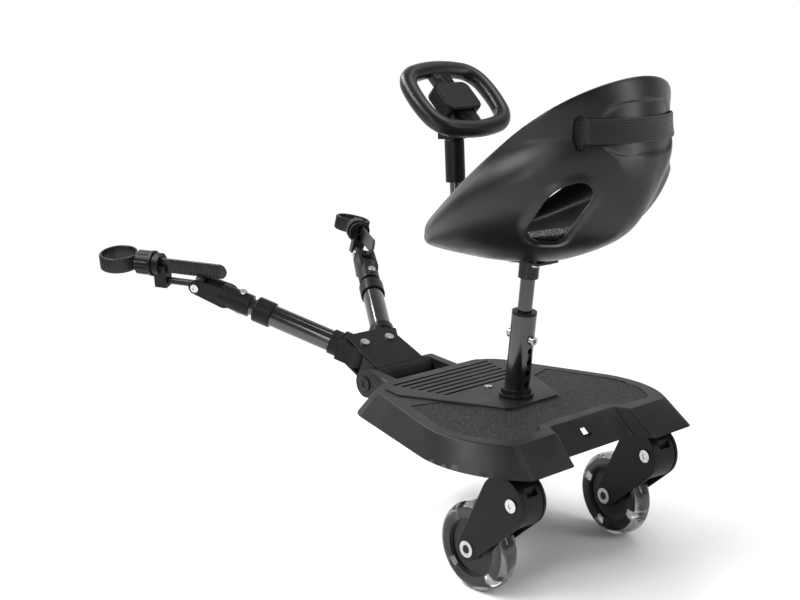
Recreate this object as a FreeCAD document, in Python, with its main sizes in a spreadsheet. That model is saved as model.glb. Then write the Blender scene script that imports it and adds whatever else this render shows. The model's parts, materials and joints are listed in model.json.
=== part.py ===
import FreeCAD, Part
import math
import os
import Sketcher
from FreeCAD import Placement, Rotation, Vector

# Ride-on board for a pushchair: a deck on two swivel casters, a bucket seat with a steering wheel on a
# telescopic post, and a folding front hitch with two arms that strap to the chair.
# x runs forward, y to the left, z up from the floor; lengths in mm, angles in degrees.

SIZES = {
    # place of the part's origin along the deck, ahead of the caster stems
    "origin_x": 293.7,
    # deck: drafted moulding, hollow below, with a raised foot area
    "deck_top": 182.0,
    "deck_foot": 154.0,
    "deck_wall": 3.5,
    "deck_skin": 4.0,
    "deck_edge": 3.0,
    "platform_edge": 1.2,
    "rib_thickness": 2.5,
    "rib_foot": 162.0,
    "rib_cross_rear_x": 40.0,
    "rib_cross_front_x": 205.0,
    "rib_side_y": 70.0,
    "rib_side_half_length": 95.0,
    "rib_side_x": 130.0,
    "rib_cross_rear_half": 130.0,
    "rib_cross_front_half": 105.0,
    "platform_rise": 2.0,
    "groove_first_x": 160.0,
    "groove_pitch": 11.2,
    "groove_width": 4.4,
    "groove_depth": 1.6,
    "groove_half_length": 60.0,
    "groove_spread": 3.2,
    "slot_right": -1.0,
    "slot_width": 13.0,
    "slot_low": 165.0,
    "slot_height": 8.0,
    "slot_depth": 45.0,
    "slot_back_x": -30.0,
    "pad_recess": 2.5,
    "pad_thickness": 1.6,
    "pad_gap": 0.3,
    "foot_screw_x": 149.0,
    "foot_screw_head": 4.6,
    "foot_screw_head_height": 1.2,
    "foot_screw_socket": 1.6,
    "foot_screw_socket_depth": 0.8,
    "foot_screw_shank": 2.5,
    "foot_screw_length": 14.0,
    "foot_screw_boss": 7.0,
    "screw_gap": 0.15,
    # hinge between deck and hitch
    "hinge_x": 305.0,
    "hinge_z": 164.0,
    "hinge_radius": 17.5,
    "ear_inner": 45.0,
    "ear_outer": 57.0,
    "ear_root_x": 246.0,
    "ear_root_z": 166.0,
    "ear_root_radius": 11.0,
    "hinge_pin_radius": 5.0,
    "hinge_pin_head": 9.0,
    "hinge_pin_head_height": 1.8,
    "hinge_pin_socket": 4.0,
    "running_gap": 0.06,
    "face_gap": 0.4,
    # casters
    "caster_y": 113.0,
    "caster_right_turn": -6.8,
    "boss_radius": 22.0,
    "boss_top_half": 12.0,
    "boss_foot": 150.6,
    "stem_radius": 6.0,
    "stem_foot": 118.0,
    "stem_top": 171.0,
    "stem_groove_depth": 0.8,
    "stem_groove_z": 164.0,
    "stem_groove_width": 2.5,
    "stem_cavity": 2.0,
    "drum_z": 116.0,
    "drum_radius": 30.0,
    "drum_half_width": 14.5,
    "neck_gap": 0.3,
    "neck_top": 150.2,
    "lug_x": 22.0,
    "lug_length": 10.0,
    "lug_half_width": 5.0,
    "lug_z": 131.0,
    "lug_height": 11.0,
    "drum_slot_x": -22.0,
    "drum_slot_length": 9.0,
    "drum_slot_half_width": 8.0,
    "drum_slot_z": 128.0,
    "drum_slot_height": 20.0,
    "plate_inner": 14.6,
    "plate_thickness": 3.9,
    "plate_edge": 1.0,
    "drum_edge": 1.5,
    "plate_drum_radius": 30.5,
    "plate_axle_radius": 14.0,
    "trail": 50.0,
    "wheel_radius": 50.0,
    "upper_bolt_x": -14.4,
    "upper_bolt_z": 118.6,
    "upper_bolt_radius": 4.0,
    "upper_bolt_head": 7.5,
    "upper_bolt_head_height": 1.8,
    "upper_bolt_socket": 3.0,
    "axle_radius": 4.0,
    "axle_head": 9.5,
    "axle_head_height": 1.6,
    "axle_socket": 5.0,
    "socket_depth": 1.0,
    "axle_spacer_radius": 6.0,
    # wheels
    "wheel_half_width": 12.35,
    "tyre_edge": 8.2,
    "tyre_inner_radius": 38.0,
    "core_radius": 37.7,
    "core_half_width": 11.0,
    "core_web_half": 8.0,
    "core_rim_inner": 32.0,
    "core_hub_radius": 15.0,
    "core_hub_half": 12.0,
    "core_bore": 6.5,
    "lobe_count": 8.0,
    "lobe_place": 36.6,
    "lobe_radius": 5.2,
    "lobe_gap": 0.3,
    "bearing_radius": 11.0,
    "bearing_width": 7.0,
    "bearing_outer_end": 12.0,
    "bearing_ring_outer": 9.4,
    "bearing_ring_inner": 6.0,
    "bearing_groove": 0.6,
    "bearing_gap": 0.1,
    # seat post
    "post_x": 104.5,
    "post_lean": 6.0,
    "flange_radius": 20.0,
    "flange_height": 4.0,
    "flange_collar_radius": 17.6,
    "flange_collar_height": 10.0,
    "post_boss_radius": 21.0,
    "post_boss_foot": 158.0,
    "lower_tube_radius": 14.3,
    "lower_tube_bore": 12.5,
    "lower_tube_foot": 2.0,
    "lower_tube_top": 99.0,
    "tube_hole_radius": 3.3,
    "tube_hole_first": 18.0,
    "tube_hole_pitch": 13.3,
    "tube_hole_count": 4.0,
    "bushing_cap_height": 3.5,
    "bushing_sleeve": 21.0,
    "bushing_gap": 0.15,
    "upper_tube_radius": 8.3,
    "upper_tube_bore": 6.3,
    "upper_tube_foot": 58.0,
    "upper_tube_slot": 3.4,
    "upper_tube_head_gap": 6.0,
    "seat_travel": 28.0,
    "height_bolt_z": 71.2,
    "height_bolt_radius": 3.0,
    "height_bolt_head": 5.2,
    "height_bolt_head_height": 5.0,
    "height_bolt_socket": 2.5,
    "height_bolt_socket_depth": 2.6,
    "height_nut_radius": 5.6,
    "height_nut_height": 4.5,
    "height_nut_dome": 4.6,
    # seat
    "seat_x": 212.0,
    "seat_z": 347.0,
    "seat_wall": 4.0,
    "seat_floor": 3.5,
    "seat_hole_turn": 41.4,
    "seat_hole_lift": 150.0,
    "seat_hole_depth": 110.0,
    "liner_gap": 0.5,
    "liner_thickness": 2.0,
    "liner_angle": 9.0,
    "liner_box": 400.0,
    "belt_low": 144.0,
    "belt_height": 25.0,
    "belt_gap": 0.4,
    "belt_thickness": 1.6,
    "belt_half_length": 73.0,
    "belt_slot_width": 6.0,
    "belt_slot_low": 138.0,
    "belt_slot_height": 33.0,
    "belt_slot_rear": -285.0,
    "belt_slot_length": 60.0,
    "belt_tail_length": 22.0,
    "belt_tail_x": -266.0,
    "belt_reach_x": -200.0,
    "bracket_plate_rear": -27.0,
    "bracket_plate_front": 33.0,
    "bracket_plate_half": 17.0,
    "bracket_plate_thickness": 3.0,
    "bracket_socket_radius": 11.5,
    "bracket_socket_length": 22.0,
    "seat_screw_x": 18.0,
    "seat_screw_y": 10.5,
    "seat_screw_head": 4.2,
    "seat_screw_head_height": 2.4,
    "seat_screw_shank": 2.2,
    "seat_screw_length": 6.0,
    # steering column and wheel
    "column_x": 204.6,
    "column_z": 380.0,
    "column_lean": 3.5,
    "column_radius": 7.0,
    "column_foot_end": -8.0,
    "column_top": 104.0,
    "column_gap": 0.15,
    "sleeve_radius": 11.5,
    "sleeve_low": 40.0,
    "sleeve_high": 89.6,
    "sleeve_edge": 1.2,
    "foot_rear_x": -95.0,
    "foot_front_x": -52.0,
    "foot_half_width": 16.0,
    "foot_plate_thickness": 4.0,
    "foot_lift": 0.3,
    "foot_arm_angle": 24.0,
    "foot_arm_length": 60.0,
    "foot_arm_half_width": 9.0,
    "foot_arm_height": 13.0,
    "foot_arm_x": -66.0,
    "foot_socket_radius": 11.0,
    "foot_socket_low": -14.0,
    "foot_socket_high": 16.0,
    "steer_x": 208.0,
    "steer_z": 516.0,
    "steer_tilt": 42.0,
    "rim_half_width": 59.2,
    "rim_half_height": 47.1,
    "rim_top_radius": 150.0,
    "rim_side_radius": 110.0,
    "rim_corner_radius": 28.0,
    "rim_tube": 9.9,
    "spoke_half_width": 12.5,
    "spoke_low": -7.0,
    "spoke_high": 3.0,
    "spoke_root": 17.0,
    "hub_half_width": 27.0,
    "hub_half_height": 21.0,
    "hub_corner": 10.0,
    "hub_back_low": -13.0,
    "hub_back_edge": 3.0,
    "hub_parting": -1.0,
    "hub_cover_high": 7.0,
    "hub_cover_edge": 3.0,
    "hub_gap": 0.3,
    "steer_bolt_radius": 4.0,
    "steer_bolt_head": 6.5,
    "steer_bolt_head_height": 3.0,
    "steer_bolt_low": -26.0,
    "steer_bolt_seat": -6.0,
    "head_radius": 13.0,
    "head_low": -31.0,
    "head_high": -13.4,
    "head_block_half": 10.0,
    "head_block_drop": 14.0,
    "head_block_rise": 10.0,
    "head_block_rear": -10.0,
    "head_block_front": 17.0,
    # hitch bracket
    "hitch_pitch": 23.2,
    "hitch_plate_thickness": 3.0,
    "hitch_wall_front": 33.0,
    "hitch_wall_thickness": 4.0,
    "hitch_wall_half": 38.6,
    "hitch_web_front": 31.0,
    "hitch_rib_thickness": 4.0,
    "cover_rear": 3.0,
    "cover_edge": 1.2,
    "pivot_x": 54.2,
    "pivot_y": 20.5,
    "pivot_radius": 3.0,
    "pivot_head": 6.0,
    "pivot_head_height": 2.4,
    "pivot_socket": 2.6,
    "pivot_nut": 5.6,
    "pivot_nut_height": 4.5,
    # arms
    "arm_splay": 31.0,
    "knuckle_radius": 17.0,
    "knuckle_half": 14.1,
    "neck_half_width": 14.6,
    "neck_end": 30.0,
    "socket_ring_radius": 16.3,
    "socket_ring_start": 29.0,
    "socket_ring_end": 42.0,
    "arm_tube_radius": 14.0,
    "arm_tube_bore": 12.0,
    "arm_tube_start": 31.0,
    "arm_tube_end": 138.0,
    "collar_radius": 16.6,
    "collar_start": 126.0,
    "collar_end": 150.0,
    "collar_edge": 1.5,
    "inner_tube_radius": 11.0,
    "inner_tube_bore": 9.4,
    "inner_tube_start": 58.0,
    "inner_tube_end": 192.0,
    "fork_sleeve_radius": 14.5,
    "fork_sleeve_start": 158.0,
    "fork_sleeve_end": 200.0,
    "fork_tine_inner": 8.0,
    "fork_tine_thickness": 5.0,
    "fork_tine_radius": 9.5,
    "fork_tine_root_x": 193.0,
    "fork_tine_root_radius": 12.0,
    "clevis_x": 233.0,
    "fork_bolt_x": 172.0,
    "fork_bolt_radius": 2.5,
    "fork_bolt_head": 5.0,
    "fork_bolt_head_height": 2.6,
    "fork_bolt_nut": 4.6,
    "clevis_radius": 3.0,
    "clevis_head": 5.6,
    "clevis_head_height": 2.4,
    "clevis_socket": 2.6,
    # links and straps
    "link_drop": 17.7,
    "link_eye_radius": 7.6,
    "link_eye_half": 7.6,
    "link_rod_radius": 4.6,
    "link_rod_end": 54.0,
    "holder_rear": 44.0,
    "holder_front": 61.0,
    "holder_half": 8.5,
    "holder_low": -8.0,
    "strap_z": 22.0,
    "snout_radius": 12.4,
    "snout_rear": 52.0,
    "snout_front": 86.0,
    "snout_shoulder": 14.6,
    "snout_shoulder_end": 61.0,
    "band_half_height": 10.0,
    "band_thickness": 3.0,
    "band_parting": 0.3,
    "band_slot_gap": 0.3,
    "band_fixed_end": 60.0,
    "tail_end": -42.0,
    "loop_x": 114.5,
    "loop_radius": 22.0,
    "loop_flare": 4.5,
    "rib_first": -33.0,
    "rib_pitch": 3.3,
    "rib_count": 23.0,
    "rib_height": 0.9,
    "rib_width": 1.5,
    "rib_half": 9.0,
    "ring_inner_gap": 0.3,
    "ring_radius": 16.0,
    "ring_start": 62.0,
    "ring_end": 85.0,
    "ring_flange_radius": 16.8,
    "ring_flange_end": 66.0,
    "knurl_count": 12.0,
    "knurl_place": 17.6,
    "knurl_radius": 2.6,
}

# Corner tables: name, x, y and corner radius of the left half, front to rear.
CORNERS = {
    "deck_top_rim": [
        ("front", 250.0, 97.0, 45.0),
        ("waist", 44.0, 168.0, 115.0),
        ("rear", -13.0, 126.0, 14.0),
        ("lobe", -12.5, 61.0, 8.0),
        ("notch", 6.0, 53.0, 8.0),
    ],
    "deck_foot_rim": [
        ("front", 262.0, 118.0, 40.0),
        ("waist", 25.0, 184.0, 135.0),
        ("rear", -44.5, 133.4, 14.0),
        ("lobe", -44.5, 66.0, 8.0),
        ("notch", -21.0, 58.0, 8.0),
    ],
    "platform": [
        ("front", 245.0, 74.0, 12.0),
        ("shoulder", 226.0, 94.0, 14.0),
        ("side", 197.0, 99.0, 18.0),
        ("rear", 74.0, 41.0, 12.0),
    ],
    "pad_edge": [
        ("tip", 161.0, 114.0, 5.0),
        ("waist", 46.0, 152.0, 84.0),
        ("rear", 1.0, 112.0, 14.0),
        ("lobe", 5.0, 68.0, 8.0),
        ("notch", 19.0, 56.0, 8.0),
    ],
    "pad_inside": [
        ("rear", 72.0, 42.5, 12.0),
        ("tip", 149.0, 79.0, 4.0),
    ],
    "cover": [
        ("front", 76.0, 36.0, 8.0),
        ("rear", 3.0, 38.6, 2.0),
    ],
    "seat_hole": [
        ("low_front", -82.0, 39.0, 13.0),
        ("high_front", -117.0, 99.0, 45.0),
        ("high_rear", -173.0, 115.0, 13.0),
        ("low_rear", -126.0, 39.0, 14.0),
    ],
}

# Seat sections fan about a cross line at the nose: name, angle, reach of nose and back,
# radii of nose, flank and back.
SECTIONS = [
    ("floor", 0.0, 36.0, 157.0, 44.0, 76.0, 22.0),
    ("pan", 9.4, 14.5, 253.0, 74.0, 174.0, 20.0),
    ("hip", 18.8, 8.0, 298.0, 99.0, 174.0, 45.0),
    ("side", 28.2, 8.0, 321.0, 108.0, 182.0, 92.0),
    ("rim", 37.6, 8.0, 345.0, 104.0, 400.0, 116.0),
]

doc = FreeCAD.newDocument("buggy_board")
sheet = doc.addObject("Spreadsheet::Sheet", "dim")
values = dict(SIZES)
for group, rows in CORNERS.items():
    for name, x, y, radius in rows:
        values["%s_%s_x" % (group, name)] = x
        values["%s_%s_y" % (group, name)] = y
        values["%s_%s_r" % (group, name)] = radius
for name, *numbers in SECTIONS:
    for word, number in zip(("angle", "nose", "back", "nose_r", "flank_r", "back_r"), numbers):
        values["seat_%s_%s" % (name, word)] = number
for row, (name, number) in enumerate(values.items(), 1):
    sheet.set("A%d" % row, name)
    sheet.set("B%d" % row, repr(number))
    sheet.setAlias("B%d" % row, name)
doc.recompute()


class Size:
    """A length or angle together with the sheet formula it comes from."""

    def __init__(self, number, text):
        self.number = number
        self.text = text

    def __add__(self, other):
        return both(self, other, "+", lambda a, b: a + b)

    def __radd__(self, other):
        return both(other, self, "+", lambda a, b: a + b)

    def __sub__(self, other):
        return both(self, other, "-", lambda a, b: a - b)

    def __rsub__(self, other):
        return both(other, self, "-", lambda a, b: a - b)

    def __mul__(self, other):
        return both(self, other, "*", lambda a, b: a * b)

    def __rmul__(self, other):
        return both(other, self, "*", lambda a, b: a * b)

    def __truediv__(self, other):
        return both(self, other, "/", lambda a, b: a / b)

    def __neg__(self):
        return Size(-self.number, "(0 - %s)" % self.text)


def size(thing):
    if isinstance(thing, Size):
        return thing
    return Size(float(thing), repr(float(thing)))


def both(left, right, sign, rule):
    a = size(left)
    b = size(right)
    return Size(rule(a.number, b.number), "(%s %s %s)" % (a.text, sign, b.text))


def sine(angle):
    return Size(math.sin(math.radians(angle.number)), "sin(%s * 1 deg)" % angle.text)


def cosine(angle):
    return Size(math.cos(math.radians(angle.number)), "cos(%s * 1 deg)" % angle.text)


def root(thing):
    return Size(math.sqrt(thing.number), "sqrt(%s)" % thing.text)


class Sizes:
    def __getattr__(self, name):
        return Size(values[name], "dim." + name)


s = Sizes()


def bind(thing, path, amount):
    thing.setExpression(path, size(amount).text)


def put(thing, x=0, y=0, z=0):
    for axis, amount in zip("xyz", (x, y, z)):
        if amount != 0:
            bind(thing, "Placement.Base." + axis, amount)
    return thing


# two things nearer than this are taken to touch
TOUCH = 0.01
Y_AXIS = Vector(0, 1, 0)
Z_AXIS = Vector(0, 0, 1)
AXIS_TURNS = {
    "x": Rotation(Vector(0, 1, 0), 90),
    "y": Rotation(Vector(1, 0, 0), -90),
    "z": Rotation(),
}


def rod(axis, radius, start, end, x=0, y=0, z=0):
    solid = doc.addObject("Part::Cylinder", "rod")
    bind(solid, "Radius", radius)
    bind(solid, "Height", size(end) - start)
    solid.Placement = Placement(Vector(), AXIS_TURNS[axis])
    place = {"x": x, "y": y, "z": z}
    place[axis] = place[axis] + size(start)
    return put(solid, **place)


def block(x0, x1, y0, y1, z0, z1):
    solid = doc.addObject("Part::Box", "block")
    bind(solid, "Length", size(x1) - x0)
    bind(solid, "Width", size(y1) - y0)
    bind(solid, "Height", size(z1) - z0)
    return put(solid, x0, y0, z0)


def ball(radius, x=0, y=0, z=0):
    solid = doc.addObject("Part::Sphere", "ball")
    bind(solid, "Radius", radius)
    return put(solid, x, y, z)


def join(*shapes):
    if len(shapes) == 1:
        return shapes[0]
    solid = doc.addObject("Part::MultiFuse", "join")
    solid.Shapes = list(shapes)
    solid.Refine = True
    return solid


def cut(base, *tools):
    solid = doc.addObject("Part::Cut", "cut")
    solid.Base = base
    solid.Tool = join(*tools)
    solid.Refine = True
    return solid


def common(base, tool):
    solid = doc.addObject("Part::Common", "common")
    solid.Base = base
    solid.Tool = tool
    return solid


def group(*shapes):
    solids = doc.addObject("Part::Compound", "group")
    solids.Links = list(shapes)
    return solids


def across(shape):
    """The same shape on the other side of the middle plane."""
    twin = doc.addObject("Part::Mirroring", "twin")
    twin.Source = shape
    twin.Base = Vector(0, 0, 0)
    twin.Normal = Vector(0, 1, 0)
    return twin


def rounded(base, radius, test):
    doc.recompute()
    picked = [i + 1 for i, edge in enumerate(base.Shape.Edges) if test(edge)]
    solid = doc.addObject("Part::Fillet", "rounded")
    solid.Base = base
    solid.Edges = [(number, radius.number, radius.number) for number in picked]
    return solid


def closed(edge):
    """True for the round edge of a rod's end."""
    return len(edge.Vertexes) == 1


def ring(axis, outer, inner, start, end, x=0, y=0, z=0):
    return cut(rod(axis, outer, start, end, x, y, z), rod(axis, inner, start, end, x, y, z))


class Body:
    """A solid grown from constrained sketches."""

    def __init__(self, name):
        self.item = doc.addObject("PartDesign::Body", name)

    def plane(self, role):
        return [f for f in self.item.Origin.OriginFeatures if f.Role == role][0]

    def sketch(self, role="XY_Plane", lift=0, turn=None):
        drawing = self.item.newObject("Sketcher::SketchObject", "outline")
        drawing.AttachmentSupport = [(self.plane(role), "")]
        drawing.MapMode = "FlatFace"
        drawing.AttachmentOffset = Placement(Vector(), turn or Rotation())
        if lift != 0:
            normal = (turn or Rotation()).multVec(Vector(0, 0, 1))
            for axis, part in zip("xyz", normal):
                if abs(part) > 1e-9:
                    bind(drawing, "AttachmentOffset.Base." + axis, size(lift) * part)
        return drawing

    def pad(self, drawing, length, both_ways=False, flipped=False, kind="PartDesign::Pad"):
        feature = self.item.newObject(kind, "pad")
        feature.Profile = drawing
        bind(feature, "Length", length)
        feature.SideType = "Symmetric" if both_ways else "One side"
        feature.Reversed = flipped
        return feature

    def pocket(self, drawing, length, flipped=False):
        return self.pad(drawing, length, False, flipped, "PartDesign::Pocket")

    def loft(self, drawings, ruled=False, kind="PartDesign::AdditiveLoft"):
        feature = self.item.newObject(kind, "loft")
        feature.Profile = drawings[0]
        feature.Sections = drawings[1:]
        feature.Ruled = ruled
        return feature

    def spin(self, drawing, axis):
        feature = self.item.newObject("PartDesign::Revolution", "spin")
        feature.Profile = drawing
        feature.ReferenceAxis = (drawing, [axis])
        feature.Angle = 360
        return feature


def hold(drawing, rules):
    """Adds constraints; those that carry a size are tied to the sheet."""
    first = drawing.ConstraintCount
    drawing.addConstraint([Sketcher.Constraint(*rule[:-1], *([rule[-1].number] if rule[-1] else []))
                           for rule in rules])
    for number, rule in enumerate(rules, first):
        if rule[-1]:
            drawing.setExpression("Constraints[%d]" % number, rule[-1].text)


def point(x, y):
    return Vector(size(x).number, size(y).number, 0)


def polygon(drawing, corners):
    """Closed outline of straight sides; each corner is (x, y, corner radius)."""
    spots = [point(x, y) for x, y, _ in corners]
    count = len(corners)
    starts = []
    ends = []
    for i, (x, y, radius) in enumerate(corners):
        back = (spots[i - 1] - spots[i]).normalize()
        ahead = (spots[(i + 1) % count] - spots[i]).normalize()
        half = back.getAngle(ahead) / 2
        reach = size(radius).number / math.tan(half)
        ends.append(spots[i] + back * reach)
        starts.append(spots[i] + ahead * reach)
    rules = []
    lines = []
    for i in range(count):
        lines.append(drawing.addGeometry(Part.LineSegment(starts[i], ends[(i + 1) % count])))
    for i, (x, y, radius) in enumerate(corners):
        mark = drawing.addGeometry(Part.Point(spots[i]), True)
        inward = ((spots[i - 1] - spots[i]).normalize() + (spots[(i + 1) % count] - spots[i]).normalize())
        half = (spots[i - 1] - spots[i]).getAngle(spots[(i + 1) % count] - spots[i]) / 2
        centre = spots[i] + inward.normalize() * (size(radius).number / math.sin(half))
        a0 = math.atan2(ends[i].y - centre.y, ends[i].x - centre.x)
        a1 = math.atan2(starts[i].y - centre.y, starts[i].x - centre.x)
        left = (spots[i] - spots[i - 1]).cross(spots[(i + 1) % count] - spots[i]).z > 0
        low, high = (a0, a1) if left else (a1, a0)
        circle = Part.Circle(centre, Vector(0, 0, 1), size(radius).number)
        arc = drawing.addGeometry(Part.ArcOfCircle(circle, low, high))
        come, leave = (1, 2) if left else (2, 1)
        rules.append(("Tangent", lines[i - 1], 2, arc, come, None))
        rules.append(("Tangent", arc, leave, lines[i], 1, None))
        rules.append(("PointOnObject", mark, 1, lines[i - 1], None))
        rules.append(("PointOnObject", mark, 1, lines[i], None))
        rules.append(("DistanceX", -1, 1, mark, 1, size(x)))
        rules.append(("DistanceY", -1, 1, mark, 1, size(y)))
        rules.append(("Radius", arc, size(radius)))
    hold(drawing, rules)


def corners(group_name, move=0, signs=None):
    """Corners of a table, each shifted by a wall or gap along its signs."""
    rows = []
    for i, row in enumerate(CORNERS[group_name]):
        head = "%s_%s" % (group_name, row[0])
        x = getattr(s, head + "_x")
        y = getattr(s, head + "_y")
        if signs:
            x = x + size(move) * signs[i][0]
            y = y + size(move) * signs[i][1]
        rows.append((x, y, getattr(s, head + "_r")))
    return rows


def paired(half):
    """A left half outline and its mirror image, as one closed outline."""
    return half + [(x, -y, radius) for x, y, radius in reversed(half)]


def contour(drawing, spots, bends):
    """Closed outline through fixed points; bends gives the signed radius of curved sides,
    positive when the side turns left."""
    places = [point(x, y) for x, y in spots]
    count = len(spots)
    rules = []
    for i, (x, y) in enumerate(spots):
        a = places[i]
        b = places[(i + 1) % count]
        bend = bends.get(i)
        if bend is None:
            drawing.addGeometry(Part.LineSegment(a, b))
            continue
        radius = abs(bend.number)
        along = b - a
        side = Vector(-along.y, along.x, 0).normalize() * (1 if bend.number > 0 else -1)
        centre = (a + b) * 0.5 + side * math.sqrt(max(radius ** 2 - along.Length ** 2 / 4, 0))
        a0 = math.atan2(a.y - centre.y, a.x - centre.x)
        a1 = math.atan2(b.y - centre.y, b.x - centre.x)
        low, high = (a0, a1) if bend.number > 0 else (a1, a0)
        circle = Part.Circle(centre, Vector(0, 0, 1), radius)
        drawing.addGeometry(Part.ArcOfCircle(circle, low, high))
    for i, (x, y) in enumerate(spots):
        head = 2 if i in bends and bends[i].number < 0 else 1
        last = (i - 1) % count
        tail = 1 if last in bends and bends[last].number < 0 else 2
        rules.append(("Coincident", last, tail, i, head, None))
        rules.append(("DistanceX", -1, 1, i, head, size(x)))
        rules.append(("DistanceY", -1, 1, i, head, size(y)))
        if i in bends:
            amount = bends[i] if bends[i].number > 0 else -bends[i]
            rules.append(("Radius", i, amount))
    hold(drawing, rules)


def tapered(drawing, x1, y1, r1, x2, y2, r2):
    """Two round ends joined by tangent sides."""
    one = point(x1, y1)
    two = point(x2, y2)
    heading = math.atan2(two.y - one.y, two.x - one.x)
    lean = math.acos((size(r1).number - size(r2).number) / (two - one).Length)
    up = Vector(math.cos(heading + lean), math.sin(heading + lean), 0)
    down = Vector(math.cos(heading - lean), math.sin(heading - lean), 0)
    n1 = size(r1).number
    n2 = size(r2).number
    drawing.addGeometry(Part.ArcOfCircle(
        Part.Circle(one, Vector(0, 0, 1), n1), heading + lean, heading - lean + 2 * math.pi))
    drawing.addGeometry(Part.LineSegment(one + down * n1, two + down * n2))
    drawing.addGeometry(Part.ArcOfCircle(
        Part.Circle(two, Vector(0, 0, 1), n2), heading - lean, heading + lean))
    drawing.addGeometry(Part.LineSegment(two + up * n2, one + up * n1))
    hold(drawing, [
        ("Tangent", 0, 2, 1, 1, None), ("Tangent", 1, 2, 2, 1, None),
        ("Tangent", 2, 2, 3, 1, None), ("Tangent", 3, 2, 0, 1, None),
        ("DistanceX", -1, 1, 0, 3, size(x1)), ("DistanceY", -1, 1, 0, 3, size(y1)),
        ("DistanceX", -1, 1, 2, 3, size(x2)), ("DistanceY", -1, 1, 2, 3, size(y2)),
        ("Radius", 0, size(r1)), ("Radius", 2, size(r2)),
    ])


def egg(drawing, nose, back, nose_r, flank_r, back_r):
    """Seat section: nose arc, two flank arcs and back arc, all tangent; reach counts rearward."""
    c1 = nose.number + nose_r.number
    c2 = back.number - back_r.number
    a = flank_r.number - nose_r.number
    b = flank_r.number - back_r.number
    gap = c2 - c1
    along = (a * a - b * b + gap * gap) / (2 * gap)
    drop = math.sqrt(a * a - along * along)
    turn_nose = math.atan2(drop, -along)
    turn_back = math.atan2(drop, gap - along)
    normal = Vector(0, 0, 1)
    nose_circle = Part.Circle(Vector(-c1, 0, 0), normal, nose_r.number)
    back_circle = Part.Circle(Vector(-c2, 0, 0), normal, back_r.number)
    left_circle = Part.Circle(Vector(-c1 - along, -drop, 0), normal, flank_r.number)
    right_circle = Part.Circle(Vector(-c1 - along, drop, 0), normal, flank_r.number)
    front = math.pi - turn_nose
    rear = math.pi - turn_back
    drawing.addGeometry(Part.ArcOfCircle(nose_circle, -front, front))
    drawing.addGeometry(Part.ArcOfCircle(left_circle, front, rear))
    drawing.addGeometry(Part.ArcOfCircle(back_circle, rear, 2 * math.pi - rear))
    drawing.addGeometry(Part.ArcOfCircle(right_circle, -rear, -front))
    hold(drawing, [
        ("Tangent", 0, 2, 1, 1, None), ("Tangent", 1, 2, 2, 1, None),
        ("Tangent", 2, 2, 3, 1, None), ("Tangent", 3, 2, 0, 1, None),
        ("PointOnObject", 0, 3, -1, None), ("PointOnObject", 2, 3, -1, None),
        ("DistanceX", -1, 1, 0, 3, -(nose + nose_r)),
        ("DistanceX", -1, 1, 2, 3, -(back - back_r)),
        ("Radius", 0, nose_r), ("Radius", 1, flank_r), ("Radius", 2, back_r), ("Radius", 3, flank_r),
    ])


def pad_outline(gap):
    """Outline of the grip pad, shrunk by a gap."""
    edge = corners("pad_edge", gap, [(-1, -1), (0, -1), (1, -1), (1, 1), (1, 1)])
    inside_edge = corners("pad_inside", gap, [(-1, 1), (-1, 1)])
    return paired(edge) + [(x, -y, radius) for x, y, radius in reversed(inside_edge)] + inside_edge


def posed(shape, x, y, z, angle):
    """A shape tipped about the cross axis and set at a place."""
    moved = doc.addObject("Part::Compound", "posed")
    moved.Links = [shape]
    moved.Placement = Placement(Vector(), Rotation(Y_AXIS, size(angle).number))
    return put(moved, x, y, z)


def leaning(radius, start, end):
    """A cylinder along the leaning post, measured from its foot."""
    return posed(rod("z", radius, start, end), 0, 0, 0, -s.post_lean)


def bowl(name, inset, floor):
    """The seat's form, drawn in by an inset and lifted off its floor."""
    body = Body(name)
    drawings = []
    for row in SECTIONS:
        head = "seat_%s_" % row[0]
        angle = getattr(s, head + "angle")
        drawing = body.sketch(lift=0 if drawings else floor, turn=Rotation(Y_AXIS, angle.number))
        egg(drawing, getattr(s, head + "nose") + inset, getattr(s, head + "back") - inset,
            getattr(s, head + "nose_r") - inset, getattr(s, head + "flank_r") - inset,
            getattr(s, head + "back_r") - inset)
        drawings.append(drawing)
    body.loft(drawings)
    return body


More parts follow.
